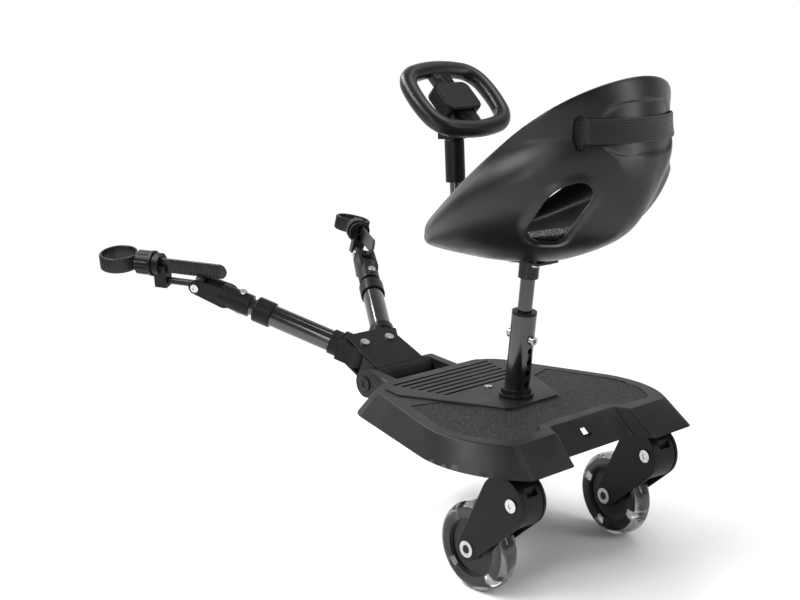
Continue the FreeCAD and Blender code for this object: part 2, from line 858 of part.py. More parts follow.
def cushion(drawing, half_x, half_y, end_r, side_r, corner_r):
    """Rounded square of tangent arcs, opened at the middle of its front side."""
    rx, ry, rc = end_r.number, side_r.number, corner_r.number
    cx, cy = half_x.number - rx, half_y.number - ry
    u, v = half_x.number - rc, half_y.number - rc
    for _ in range(60):
        f = math.hypot(u - cx, v) - (rx - rc)
        g = math.hypot(u, v - cy) - (ry - rc)
        du, dv = (u - cx) / math.hypot(u - cx, v), v / math.hypot(u - cx, v)
        eu, ev = u / math.hypot(u, v - cy), (v - cy) / math.hypot(u, v - cy)
        scale = du * ev - dv * eu
        u, v = u - (f * ev - g * dv) / scale, v - (g * du - f * eu) / scale
    a = math.atan2(v, u - cx)
    b = math.atan2(v - cy, u)
    turn = math.pi
    arcs = [
        (cx, 0, rx, 0, a), (u, v, rc, a, b), (0, cy, ry, b, turn - b), (-u, v, rc, turn - b, turn - a),
        (-cx, 0, rx, turn - a, turn + a), (-u, -v, rc, turn + a, turn + b), (0, -cy, ry, turn + b, 2 * turn - b),
        (u, -v, rc, 2 * turn - b, 2 * turn - a), (cx, 0, rx, 2 * turn - a, 2 * turn),
    ]
    for x, y, radius, low, high in arcs:
        drawing.addGeometry(Part.ArcOfCircle(Part.Circle(Vector(x, y, 0), Z_AXIS, radius), low, high))
    rules = [("Tangent", i, 2, i + 1, 1, None) for i in range(8)]
    rules += [("Coincident", 8, 2, 0, 1, None), ("Coincident", 0, 3, 8, 3, None)]
    rules += [("PointOnObject", i, 3, -1, None) for i in (0, 4)]
    rules += [("PointOnObject", i, 3, -2, None) for i in (2, 6)]
    rules += [("PointOnObject", 0, 1, -1, None)]
    rules += [("DistanceX", -1, 1, 0, 3, half_x - end_r), ("DistanceX", -1, 1, 4, 3, end_r - half_x)]
    rules += [("DistanceY", -1, 1, 2, 3, half_y - side_r), ("DistanceY", -1, 1, 6, 3, side_r - half_y)]
    rules += [("Radius", i, end_r) for i in (0, 4)] + [("Radius", i, side_r) for i in (2, 6)]
    rules += [("Radius", i, corner_r) for i in (1, 3, 5, 7)]
    hold(drawing, rules)


nodes = []


def piece(label, shape, frame):
    """Names a finished sub-part and stands it in its place."""
    item = shape.item if isinstance(shape, Body) else shape
    item.Label = label
    item.Placement = frame
    nodes.append(item)
    return item


def shift(x=0, y=0, z=0):
    return Placement(Vector(size(x).number, size(y).number, size(z).number), Rotation())


def turned(axis, angle):
    return Placement(Vector(), Rotation(axis, size(angle).number))


BOARD = shift(-s.origin_x)
POST = BOARD * shift(s.post_x, 0, s.deck_top + s.platform_rise) * turned(Y_AXIS, -s.post_lean)
SEAT = BOARD * shift(s.seat_x, 0, s.seat_z)
COLUMN = BOARD * shift(s.column_x, 0, s.column_z) * turned(Y_AXIS, s.column_lean)
WHEEL = BOARD * shift(s.steer_x, 0, s.steer_z) * turned(Y_AXIS, -s.steer_tilt)
HITCH = BOARD * shift(s.hinge_x, 0, s.hinge_z) * turned(Y_AXIS, -s.hitch_pitch)
SIDES = (("left", 1), ("right", -1))

# Deck: one moulding with sloping skirts, hollow below, a raised foot area with cross grooves,
# a recess for the grip pad, caster bosses and two hinge ears at the front.
deck = Body("deck_body")
foot_rim = deck.sketch(lift=s.deck_foot)
polygon(foot_rim, paired(corners("deck_foot_rim")))
top_rim = deck.sketch(lift=s.deck_top)
polygon(top_rim, paired(corners("deck_top_rim")))
deck.loft([foot_rim, top_rim], ruled=True)
platform = deck.sketch(lift=s.deck_top - s.pad_recess)
polygon(platform, paired(corners("platform")))
deck.pad(platform, s.pad_recess + s.platform_rise)
recess = deck.sketch(lift=s.deck_top)
polygon(recess, pad_outline(0))
deck.pocket(recess, s.pad_recess)
hollow = Body("deck_hollow")
inward = [(-1, -1), (0, -1), (1, -1), (1, 1), (1, 1)]
hollow_foot = hollow.sketch(lift=s.deck_foot)
polygon(hollow_foot, paired(corners("deck_foot_rim", s.deck_wall, inward)))
hollow_roof = hollow.sketch(lift=s.deck_top - s.pad_recess - s.deck_skin)
polygon(hollow_roof, paired(corners("deck_top_rim", s.deck_wall, inward)))
hollow.loft([hollow_foot, hollow_roof], ruled=True)
ear = Body("hinge_ear")
ear_side = ear.sketch("XZ_Plane", lift=-s.ear_outer)
tapered(ear_side, s.ear_root_x, s.ear_root_z, s.ear_root_radius, s.hinge_x, s.hinge_z, s.hinge_radius)
ear.pad(ear_side, s.ear_outer - s.ear_inner)
roof = s.deck_top - s.pad_recess - s.deck_skin / 2
outside = [ear.item, across(ear.item)]
inside = [
    rod("z", s.post_boss_radius, s.post_boss_foot, roof, s.post_x),
    rod("z", s.foot_screw_boss, s.rib_foot, roof, s.foot_screw_x),
]
for x, half in ((s.rib_cross_rear_x, s.rib_cross_rear_half), (s.rib_cross_front_x, s.rib_cross_front_half)):
    inside.append(block(x - s.rib_thickness / 2, x + s.rib_thickness / 2, -half, half, s.rib_foot, roof))
bores = [
    rod("y", s.hinge_pin_radius + s.screw_gap, -s.ear_outer, s.ear_outer, s.hinge_x, 0, s.hinge_z),
    rod("z", s.foot_screw_shank + s.screw_gap, s.deck_top - s.foot_screw_length, s.deck_top + s.platform_rise,
        s.foot_screw_x),
    block(s.slot_back_x, s.slot_back_x + s.slot_depth, s.slot_right, s.slot_right + s.slot_width,
          s.slot_low, s.slot_low + s.slot_height),
]
for side, hand in SIDES:
    y = s.caster_y * hand
    rib_y = s.rib_side_y * hand
    outside.append(rod("z", s.boss_radius, s.boss_foot, s.rib_foot, 0, y))
    inside.append(block(-s.boss_top_half, s.boss_top_half, y - s.boss_top_half, y + s.boss_top_half,
                        s.boss_foot, s.deck_top))
    inside.append(block(s.rib_side_x - s.rib_side_half_length, s.rib_side_x + s.rib_side_half_length,
                        rib_y - s.rib_thickness / 2, rib_y + s.rib_thickness / 2, s.rib_foot, roof))
    bores.append(rod("z", s.stem_radius + s.running_gap, s.boss_foot, s.stem_top + s.stem_cavity, 0, y))
for i in range(7):
    x = s.groove_first_x + s.groove_pitch * i
    half = s.groove_half_length + s.groove_spread * i
    top = s.deck_top + s.platform_rise
    bores.append(block(x - s.groove_width / 2, x + s.groove_width / 2, -half, half, top - s.groove_depth, top))
doc.recompute()
rim_line = top_rim.Shape.copy()
platform_top = s.deck_top + s.platform_rise
softened = rounded(deck.item, s.deck_edge, lambda edge: edge.distToShape(rim_line)[0] < TOUCH
                   and edge.BoundBox.ZMin > s.deck_top.number - TOUCH
                   and rim_line.distToShape(Part.Vertex(edge.valueAt(edge.FirstParameter)))[0] < TOUCH
                   and edge.BoundBox.ZMax < s.deck_top.number + TOUCH)
softened = rounded(softened, s.platform_edge, lambda edge: edge.BoundBox.ZMin > platform_top.number - TOUCH)
piece("deck", cut(join(cut(softened, cut(hollow.item, *inside)), *outside), *bores), BOARD)

# Grip pad: a U-shaped sheet let into the deck round the foot area.
grip = Body("grip_pad_body")
grip_edge = grip.sketch(lift=s.deck_top - s.pad_recess)
polygon(grip_edge, pad_outline(s.pad_gap))
grip.pad(grip_edge, s.pad_thickness)
piece("grip_pad", grip, BOARD)

# Screw in the middle of the foot area.
top = s.deck_top + s.platform_rise
head_top = top + s.foot_screw_head_height
piece("platform_screw", cut(
    join(rod("z", s.foot_screw_head, top, head_top), rod("z", s.foot_screw_shank, top - s.foot_screw_length, top)),
    rod("z", s.foot_screw_socket, head_top - s.foot_screw_socket_depth, head_top),
), BOARD * shift(s.foot_screw_x))

# Hinge pin through the deck's ears and the hitch barrel.
pin_end = s.ear_outer + s.hinge_pin_head_height
piece("hinge_pin", cut(
    join(rod("y", s.hinge_pin_radius, -s.ear_outer, s.ear_outer), rod("y", s.hinge_pin_head, s.ear_outer, pin_end),
         rod("y", s.hinge_pin_head, -pin_end, -s.ear_outer)),
    rod("y", s.hinge_pin_socket, pin_end - s.socket_depth, pin_end),
    rod("y", s.hinge_pin_socket, -pin_end, -(pin_end - s.socket_depth)),
), BOARD * shift(s.hinge_x, 0, s.hinge_z))

# Casters: a drum housing swivels on a stem in the deck and carries the wheel between two fork plates.
for side, hand in SIDES:
    caster = BOARD * shift(0, s.caster_y * hand)
    if hand < 0:
        caster = caster * turned(Z_AXIS, s.caster_right_turn)
    groove_top = s.stem_groove_z + s.stem_groove_width
    piece(side + "_caster_stem", cut(
        rod("z", s.stem_radius, s.stem_foot, s.stem_top),
        ring("z", s.stem_radius * 2, s.stem_radius - s.stem_groove_depth, s.stem_groove_z, groove_top),
    ), caster)
    piece(side + "_caster_housing", cut(
        join(rounded(rod("y", s.drum_radius, -s.drum_half_width, s.drum_half_width, 0, 0, s.drum_z), s.drum_edge,
                     closed),
             rod("z", s.plate_inner - s.neck_gap, s.drum_z, s.neck_top),
             block(s.lug_x, s.lug_x + s.lug_length, -s.lug_half_width, s.lug_half_width,
                   s.lug_z, s.lug_z + s.lug_height)),
        rod("z", s.stem_radius + s.screw_gap, s.stem_foot, s.neck_top),
        rod("y", s.upper_bolt_radius + s.screw_gap, -s.drum_half_width, s.drum_half_width,
            s.upper_bolt_x, 0, s.upper_bolt_z),
        block(s.drum_slot_x - s.drum_slot_length, s.drum_slot_x, -s.drum_slot_half_width, s.drum_slot_half_width,
              s.drum_slot_z, s.drum_slot_z + s.drum_slot_height),
    ), caster)
    plate = Body(side + "_plate_body")
    plate_end = s.plate_inner + s.plate_thickness
    plate_side = plate.sketch("XZ_Plane", lift=-plate_end)
    tapered(plate_side, 0, s.drum_z, s.plate_drum_radius, s.trail, s.wheel_radius, s.plate_axle_radius)
    plate.pad(plate_side, s.plate_thickness)
    soft_plate = rounded(plate.item, s.plate_edge, lambda edge: edge.BoundBox.YMin > plate_end.number - TOUCH)
    piece(side + "_fork_plates", cut(
        group(soft_plate, across(soft_plate)),
        rod("y", s.upper_bolt_radius + s.screw_gap, -plate_end, plate_end, s.upper_bolt_x, 0, s.upper_bolt_z),
        rod("y", s.axle_radius + s.screw_gap, -plate_end, plate_end, s.trail, 0, s.wheel_radius),
    ), caster)
    bolts = []
    for x, z, shank, head, height, socket in (
        (s.upper_bolt_x, s.upper_bolt_z, s.upper_bolt_radius, s.upper_bolt_head, s.upper_bolt_head_height,
         s.upper_bolt_socket),
        (s.trail, s.wheel_radius, s.axle_radius, s.axle_head, s.axle_head_height, s.axle_socket),
    ):
        end = plate_end + height
        bolts.append(cut(
            join(rod("y", shank, -plate_end, plate_end, x, 0, z), rod("y", head, plate_end, end, x, 0, z),
                 rod("y", head, -end, -plate_end, x, 0, z)),
            rod("y", socket, end - s.socket_depth, end, x, 0, z),
            rod("y", socket, -end, -(end - s.socket_depth), x, 0, z),
        ))
    for way in (1, -1):
        near = (s.bearing_outer_end + s.face_gap) * way
        far = s.plate_inner * way
        low, high = (near, far) if way > 0 else (far, near)
        bolts.append(ring("y", s.axle_spacer_radius, s.axle_radius + s.screw_gap, low, high,
                          s.trail, 0, s.wheel_radius))
    piece(side + "_caster_bolts", group(*bolts), caster)

    # Wheel: a clear tyre cast round a dark core that holds two ball bearings.
    wheel = caster * shift(s.trail, 0, s.wheel_radius)
    core = Body(side + "_core_body")
    core_half = core.sketch()
    contour(core_half, [
        (s.core_bore, -s.core_hub_half), (s.core_hub_radius, -s.core_hub_half),
        (s.core_hub_radius, -s.core_web_half), (s.core_rim_inner, -s.core_web_half),
        (s.core_rim_inner, -s.core_half_width), (s.core_radius, -s.core_half_width),
        (s.core_radius, s.core_half_width), (s.core_rim_inner, s.core_half_width),
        (s.core_rim_inner, s.core_web_half), (s.core_hub_radius, s.core_web_half),
        (s.core_hub_radius, s.core_hub_half), (s.core_bore, s.core_hub_half),
    ], {})
    core.spin(core_half, "V_Axis")
    notches = []
    lobes = []
    for k in range(int(s.lobe_count.number)):
        angle = 2 * math.pi * (k + 0.5) / s.lobe_count.number
        x = s.lobe_place * math.cos(angle)
        z = s.lobe_place * math.sin(angle)
        notches.append(rod("y", s.lobe_radius, -s.core_half_width, s.core_half_width, x, 0, z))
        lobes.append(rod("y", s.lobe_radius - s.lobe_gap, -s.core_half_width, s.core_half_width, x, 0, z))
    pockets = []
    bearings = []
    for way in (1, -1):
        outer = s.bearing_outer_end * way
        deep = (s.bearing_outer_end - s.bearing_width) * way
        shield = (s.bearing_outer_end - s.bearing_groove) * way
        low, high = (deep, outer) if way > 0 else (outer, deep)
        face_low, face_high = (shield, outer) if way > 0 else (outer, shield)
        pockets.append(rod("y", s.bearing_radius + s.bearing_gap, low, high))
        bearings.append(cut(
            ring("y", s.bearing_radius, s.axle_radius + s.running_gap, low, high),
            ring("y", s.bearing_ring_outer, s.bearing_ring_inner, face_low, face_high),
        ))
    piece(side + "_wheel_core", cut(core.item, *notches, *pockets), wheel)
    tyre = Body(side + "_tyre_body")
    tyre_half = tyre.sketch()
    edge = s.wheel_half_width - s.tyre_edge
    contour(tyre_half, [
        (s.tyre_inner_radius, -s.wheel_half_width), (s.wheel_radius - s.tyre_edge, -s.wheel_half_width),
        (s.wheel_radius, -edge), (s.wheel_radius, edge),
        (s.wheel_radius - s.tyre_edge, s.wheel_half_width), (s.tyre_inner_radius, s.wheel_half_width),
    ], {1: s.tyre_edge, 3: s.tyre_edge})
    tyre.spin(tyre_half, "V_Axis")
    piece(side + "_tyre", join(tyre.item, *lobes), wheel)
    piece(side + "_wheel_bearings", group(*bearings), wheel)

# Seat post: an upright flange on the deck holds a leaning tube; a thinner tube slides in its bushing.
piece("post_flange", cut(
    join(rod("z", s.flange_radius, 0, s.flange_height), rod("z", s.flange_collar_radius, 0, s.flange_collar_height)),
    leaning(s.lower_tube_radius + s.screw_gap, -s.flange_collar_height, s.flange_collar_height * 2),
), BOARD * shift(s.post_x, 0, s.deck_top + s.platform_rise))
tube_holes = [rod("x", s.tube_hole_radius, -s.lower_tube_radius, s.lower_tube_radius, 0, 0, s.height_bolt_z)]
for i in range(int(s.tube_hole_count.number)):
    z = s.tube_hole_first + s.tube_hole_pitch * i
    tube_holes.append(rod("x", s.tube_hole_radius, -s.lower_tube_radius, 0, 0, 0, z))
piece("lower_post_tube", cut(
    ring("z", s.lower_tube_radius, s.lower_tube_bore, s.lower_tube_foot, s.lower_tube_top), *tube_holes), POST)
piece("post_bushing", cut(
    join(rod("z", s.lower_tube_radius, s.lower_tube_top, s.lower_tube_top + s.bushing_cap_height),
         rod("z", s.lower_tube_bore - s.bushing_gap, s.lower_tube_top - s.bushing_sleeve, s.lower_tube_top)),
    rod("z", s.upper_tube_radius + s.running_gap, s.lower_tube_top - s.bushing_sleeve,
        s.lower_tube_top + s.bushing_cap_height),
), POST)
nut_end = s.lower_tube_radius + s.height_nut_height
head_end = s.lower_tube_radius + s.height_bolt_head_height
piece("height_bolt", cut(
    join(rod("x", s.height_bolt_radius, -s.lower_tube_radius, s.lower_tube_radius),
         rod("x", s.height_bolt_head, -head_end, -s.lower_tube_radius),
         rod("x", s.height_nut_radius, s.lower_tube_radius, nut_end), ball(s.height_nut_dome, nut_end)),
    rod("x", s.height_bolt_socket, -head_end, -(head_end - s.height_bolt_socket_depth)),
), POST * shift(0, 0, s.height_bolt_z))
post_reach = (s.seat_z - s.deck_top - s.platform_rise) / cosine(s.post_lean)
tube_top = post_reach - s.upper_tube_head_gap
slot_low = s.height_bolt_z - s.upper_tube_slot
slot_high = s.height_bolt_z + s.seat_travel + s.upper_tube_slot
piece("upper_post_tube", cut(
    ring("z", s.upper_tube_radius, s.upper_tube_bore, s.upper_tube_foot, tube_top),
    block(-s.lower_tube_radius, s.lower_tube_radius, -s.upper_tube_slot, s.upper_tube_slot, slot_low, slot_high),
), POST)

# Bracket and screws that hold the seat pan on the post.
head_x = s.post_x - post_reach * sine(s.post_lean)
HEAD = BOARD * shift(head_x, 0, s.seat_z)
screw_spots = [(s.seat_screw_x * a, s.seat_screw_y * b) for a in (1, -1) for b in (1, -1)]
plate_low = -s.bracket_plate_thickness
piece("seat_bracket", cut(
    join(block(s.bracket_plate_rear, s.bracket_plate_front, -s.bracket_plate_half, s.bracket_plate_half, plate_low, 0),
         common(leaning(s.bracket_socket_radius, -s.bracket_socket_length, 0),
                block(-s.bracket_socket_length, s.bracket_socket_length, -s.bracket_socket_length,
                      s.bracket_socket_length, -s.bracket_socket_length * 2, plate_low / 2))),
    leaning(s.upper_tube_radius + s.screw_gap, -s.bracket_socket_length * 2, -s.upper_tube_head_gap),
    *[rod("z", s.seat_screw_shank + s.screw_gap, plate_low, 0, x, y) for x, y in screw_spots],
), HEAD)
piece("seat_screws", group(*[
    join(rod("z", s.seat_screw_head, plate_low - s.seat_screw_head_height, plate_low, x, y),
         rod("z", s.seat_screw_shank, plate_low, plate_low + s.seat_screw_length, x, y))
    for x, y in screw_spots]), HEAD)

# Seat: a bucket moulding drawn through five sections, with two oval openings low in the back,
# two belt slots, a speckled liner in the pan and a belt across the back.
hole = Body("seat_opening")
hole_edge = hole.sketch("XZ_Plane", lift=-s.seat_hole_lift, turn=Rotation(Y_AXIS, s.seat_hole_turn.number))
polygon(hole_edge, corners("seat_hole"))
hole.pad(hole_edge, s.seat_hole_depth, flipped=True)
belt_slot = block(s.belt_slot_rear, s.belt_slot_rear + s.belt_slot_length, s.belt_half_length - s.belt_slot_width / 2,
                  s.belt_half_length + s.belt_slot_width / 2, s.belt_slot_low, s.belt_slot_low + s.belt_slot_height)
piece("seat_shell", cut(
    bowl("seat_outside", 0, 0).item, bowl("seat_inside", s.seat_wall, s.seat_floor).item,
    hole.item, across(hole.item), belt_slot, across(belt_slot),
    *[rod("z", s.seat_screw_shank + s.screw_gap, 0, s.seat_screw_length + plate_low, head_x - s.seat_x + x, y)
      for x, y in screw_spots],
), SEAT)
liner_out = s.seat_wall + s.liner_gap
liner_low = s.seat_floor + s.liner_gap
piece("seat_pad", common(
    common(
        cut(bowl("pad_outside", liner_out, liner_low).item,
            bowl("pad_inside", liner_out + s.liner_thickness, liner_low + s.liner_thickness).item),
        posed(block(-s.liner_box, s.liner_box / 4, -s.liner_box, s.liner_box, -s.liner_box, 0), 0, 0, 0,
              s.liner_angle)),
    block(-s.liner_box, s.liner_box / 4, -s.liner_box, s.liner_box, liner_low, s.liner_box),
), SEAT)
belt_out = s.belt_gap + s.belt_thickness
belt_top = s.belt_low + s.belt_height
belt_tail = block(s.belt_tail_x, s.belt_tail_x + s.belt_tail_length, s.belt_half_length - s.belt_thickness,
                  s.belt_half_length, s.belt_low, belt_top)
piece("seat_belt", join(
    cut(common(bowl("belt_outside", -belt_out, 0).item,
               block(-s.liner_box, s.belt_reach_x, -s.belt_half_length, s.belt_half_length, s.belt_low, belt_top)),
        bowl("belt_inside", -s.belt_gap, 0).item),
    belt_tail, across(belt_tail)), SEAT)

# Steering column: a foot on the seat pan, a thin post in a thick sleeve and a head with a gusset.
foot_low = liner_low + s.liner_thickness + s.foot_lift
lift_x = s.column_x - s.seat_x
lift_z = s.column_z - s.seat_z
piece("column_foot", cut(
    join(block(s.foot_rear_x, s.foot_front_x, -s.foot_half_width, s.foot_half_width, foot_low,
               foot_low + s.foot_plate_thickness),
         posed(block(0, s.foot_arm_length, -s.foot_arm_half_width, s.foot_arm_half_width, 0, s.foot_arm_height),
               s.foot_arm_x, 0, foot_low, -s.foot_arm_angle),
         posed(rod("z", s.foot_socket_radius, s.foot_socket_low, s.foot_socket_high), lift_x, 0, lift_z, s.column_lean)),
    posed(rod("z", s.column_radius + s.column_gap, s.column_foot_end, s.foot_socket_high * 3), lift_x, 0, lift_z,
          s.column_lean),
), SEAT)
piece("column_post", group(rod("z", s.column_radius, s.column_foot_end, s.column_top)), COLUMN)
piece("column_sleeve", cut(
    rounded(rod("z", s.sleeve_radius, s.sleeve_low, s.sleeve_high), s.sleeve_edge, closed),
    rod("z", s.column_radius + s.column_gap, s.sleeve_low, s.sleeve_high),
), COLUMN)
rise_x = s.steer_x - s.column_x
rise_z = s.steer_z - s.column_z
hub_x = rise_x * cosine(s.column_lean) - rise_z * sine(s.column_lean)
hub_z = rise_x * sine(s.column_lean) + rise_z * cosine(s.column_lean)
hub_turn = -(s.steer_tilt + s.column_lean)
piece("column_head", cut(
    join(block(s.head_block_rear, s.head_block_front, -s.head_block_half, s.head_block_half,
               s.column_top - s.head_block_drop, s.column_top + s.head_block_rise),
         posed(rod("z", s.head_radius, s.head_low, s.head_high), hub_x, 0, hub_z, hub_turn)),
    rod("z", s.column_radius + s.column_gap, s.column_top - s.head_block_drop, s.column_top + s.column_gap),
    posed(rod("z", s.steer_bolt_radius + s.running_gap, s.head_low, s.head_high), hub_x, 0, hub_z, hub_turn),
    posed(block(-s.head_block_front * 2, s.head_block_front * 2, -s.head_radius, s.head_radius, s.head_high, 0),
          hub_x, 0, hub_z, hub_turn),
), COLUMN)

# Steering wheel: a rounded square rim with two spokes clamped between the two hub shells.
rim = Body("rim_body")
rim_path = rim.sketch()
cushion(rim_path, s.rim_half_height, s.rim_half_width, s.rim_top_radius, s.rim_side_radius, s.rim_corner_radius)
rim_round = rim.sketch("XZ_Plane")
rim_round.addGeometry(Part.Circle(point(s.rim_half_height, 0), Z_AXIS, s.rim_tube.number))
hold(rim_round, [
    ("DistanceX", -1, 1, 0, 3, s.rim_half_height), ("PointOnObject", 0, 3, -1, None), ("Radius", 0, s.rim_tube)])
rim_sweep = rim.item.newObject("PartDesign::AdditivePipe", "sweep")
rim_sweep.Profile = rim_round
rim_sweep.Spine = (rim_path, ["Edge%d" % (i + 1) for i in range(9)])
spokes = []
spoke_slots = []
for way in (1, -1):
    near = s.spoke_root * way
    far = s.rim_half_height * way
    low, high = (near, far) if way > 0 else (far, near)
    gap_low, gap_high = (near - s.hub_gap, far) if way > 0 else (far, near + s.hub_gap)
    spokes.append(block(low, high, -s.spoke_half_width, s.spoke_half_width, s.spoke_low, s.spoke_high))
    spoke_slots.append(block(gap_low, gap_high, -(s.spoke_half_width + s.hub_gap), s.spoke_half_width + s.hub_gap,
                             s.spoke_low - s.hub_gap, s.spoke_high + s.hub_gap))
piece("steering_wheel", join(rim.item, *spokes), WHEEL)
hub_corners = [(s.hub_half_height * a, s.hub_half_width * b, s.hub_corner)
               for a, b in ((1, 1), (-1, 1), (-1, -1), (1, -1))]
hub = Body("hub_back_body")
hub_edge = hub.sketch(lift=s.hub_back_low)
polygon(hub_edge, hub_corners)
hub.pad(hub_edge, s.hub_parting - s.hub_back_low)
piece("hub_back", cut(
    rounded(hub.item, s.hub_back_edge, lambda edge: edge.BoundBox.ZMax < s.hub_back_low.number + TOUCH), *spoke_slots,
    rod("z", s.steer_bolt_radius + s.screw_gap, s.hub_back_low, s.hub_parting),
    rod("z", s.steer_bolt_head + s.hub_gap, s.steer_bolt_seat, s.hub_parting),
), WHEEL)
cover = Body("hub_cover_body")
cover_edge = cover.sketch(lift=s.hub_parting)
polygon(cover_edge, hub_corners)
cover.pad(cover_edge, s.hub_cover_high - s.hub_parting)
piece("hub_cover", cut(
    rounded(cover.item, s.hub_cover_edge,
            lambda edge: edge.BoundBox.ZMin > s.hub_cover_high.number - TOUCH), *spoke_slots), WHEEL)
piece("wheel_bolt", join(
    rod("z", s.steer_bolt_radius, s.steer_bolt_low, s.steer_bolt_seat),
    rod("z", s.steer_bolt_head, s.steer_bolt_seat, s.steer_bolt_seat + s.steer_bolt_head_height)), WHEEL)

# Hitch bracket: a barrel on the hinge pin, a floor plate with side walls and a screwed cover plate.
plate_top = s.hinge_radius
plate_under = s.hinge_radius - s.hitch_plate_thickness
barrel_half = s.ear_inner - s.face_gap
pivots = [(s.pivot_x, s.pivot_y * hand) for side, hand in SIDES]
floor_plate = Body("hitch_floor_body")
floor_edge = floor_plate.sketch(lift=-plate_top)
polygon(floor_edge, paired(corners("cover")))
floor_plate.pad(floor_edge, s.hitch_plate_thickness)
wall = block(0, s.hitch_wall_front, s.hitch_wall_half - s.hitch_wall_thickness, s.hitch_wall_half,
             -plate_top, plate_under)
piece("bracket_base", cut(
    join(floor_plate.item, rod("y", s.hinge_radius, -barrel_half, barrel_half), wall, across(wall),
         block(s.hitch_web_front - s.hitch_rib_thickness, s.hitch_web_front, -s.hitch_wall_half, s.hitch_wall_half,
               -plate_top, plate_under),
         block(0, s.hitch_web_front, -s.hitch_rib_thickness / 2, s.hitch_rib_thickness / 2, -plate_top, plate_under)),
    rod("y", s.hinge_pin_radius + s.running_gap, -barrel_half, barrel_half),
    block(s.cover_rear - s.hub_gap, s.pivot_x, -s.hitch_wall_half * 2, s.hitch_wall_half * 2, plate_under, plate_top),
    *[rod("z", s.pivot_radius + s.screw_gap, -plate_top, 0, x, y) for x, y in pivots],
), HITCH)
cover_plate = Body("hitch_cover_body")
cover_plate_edge = cover_plate.sketch(lift=plate_under)
polygon(cover_plate_edge, paired(corners("cover")))
cover_plate.pad(cover_plate_edge, s.hitch_plate_thickness)
piece("bracket_cover", cut(
    rounded(cover_plate.item, s.cover_edge, lambda edge: edge.BoundBox.ZMin > plate_top.number - TOUCH),
    *[rod("z", s.pivot_radius + s.screw_gap, plate_under, plate_top, x, y) for x, y in pivots]), HITCH)
pivot_end = plate_top + s.pivot_head_height
piece("arm_pivot_screws", group(*[
    cut(join(rod("z", s.pivot_radius, -plate_top, plate_top, x, y), rod("z", s.pivot_head, plate_top, pivot_end, x, y),
             rod("z", s.pivot_nut, -plate_top - s.pivot_nut_height, -plate_top, x, y)),
        rod("z", s.pivot_socket, pivot_end - s.socket_depth, pivot_end, x, y))
    for x, y in pivots]), HITCH)

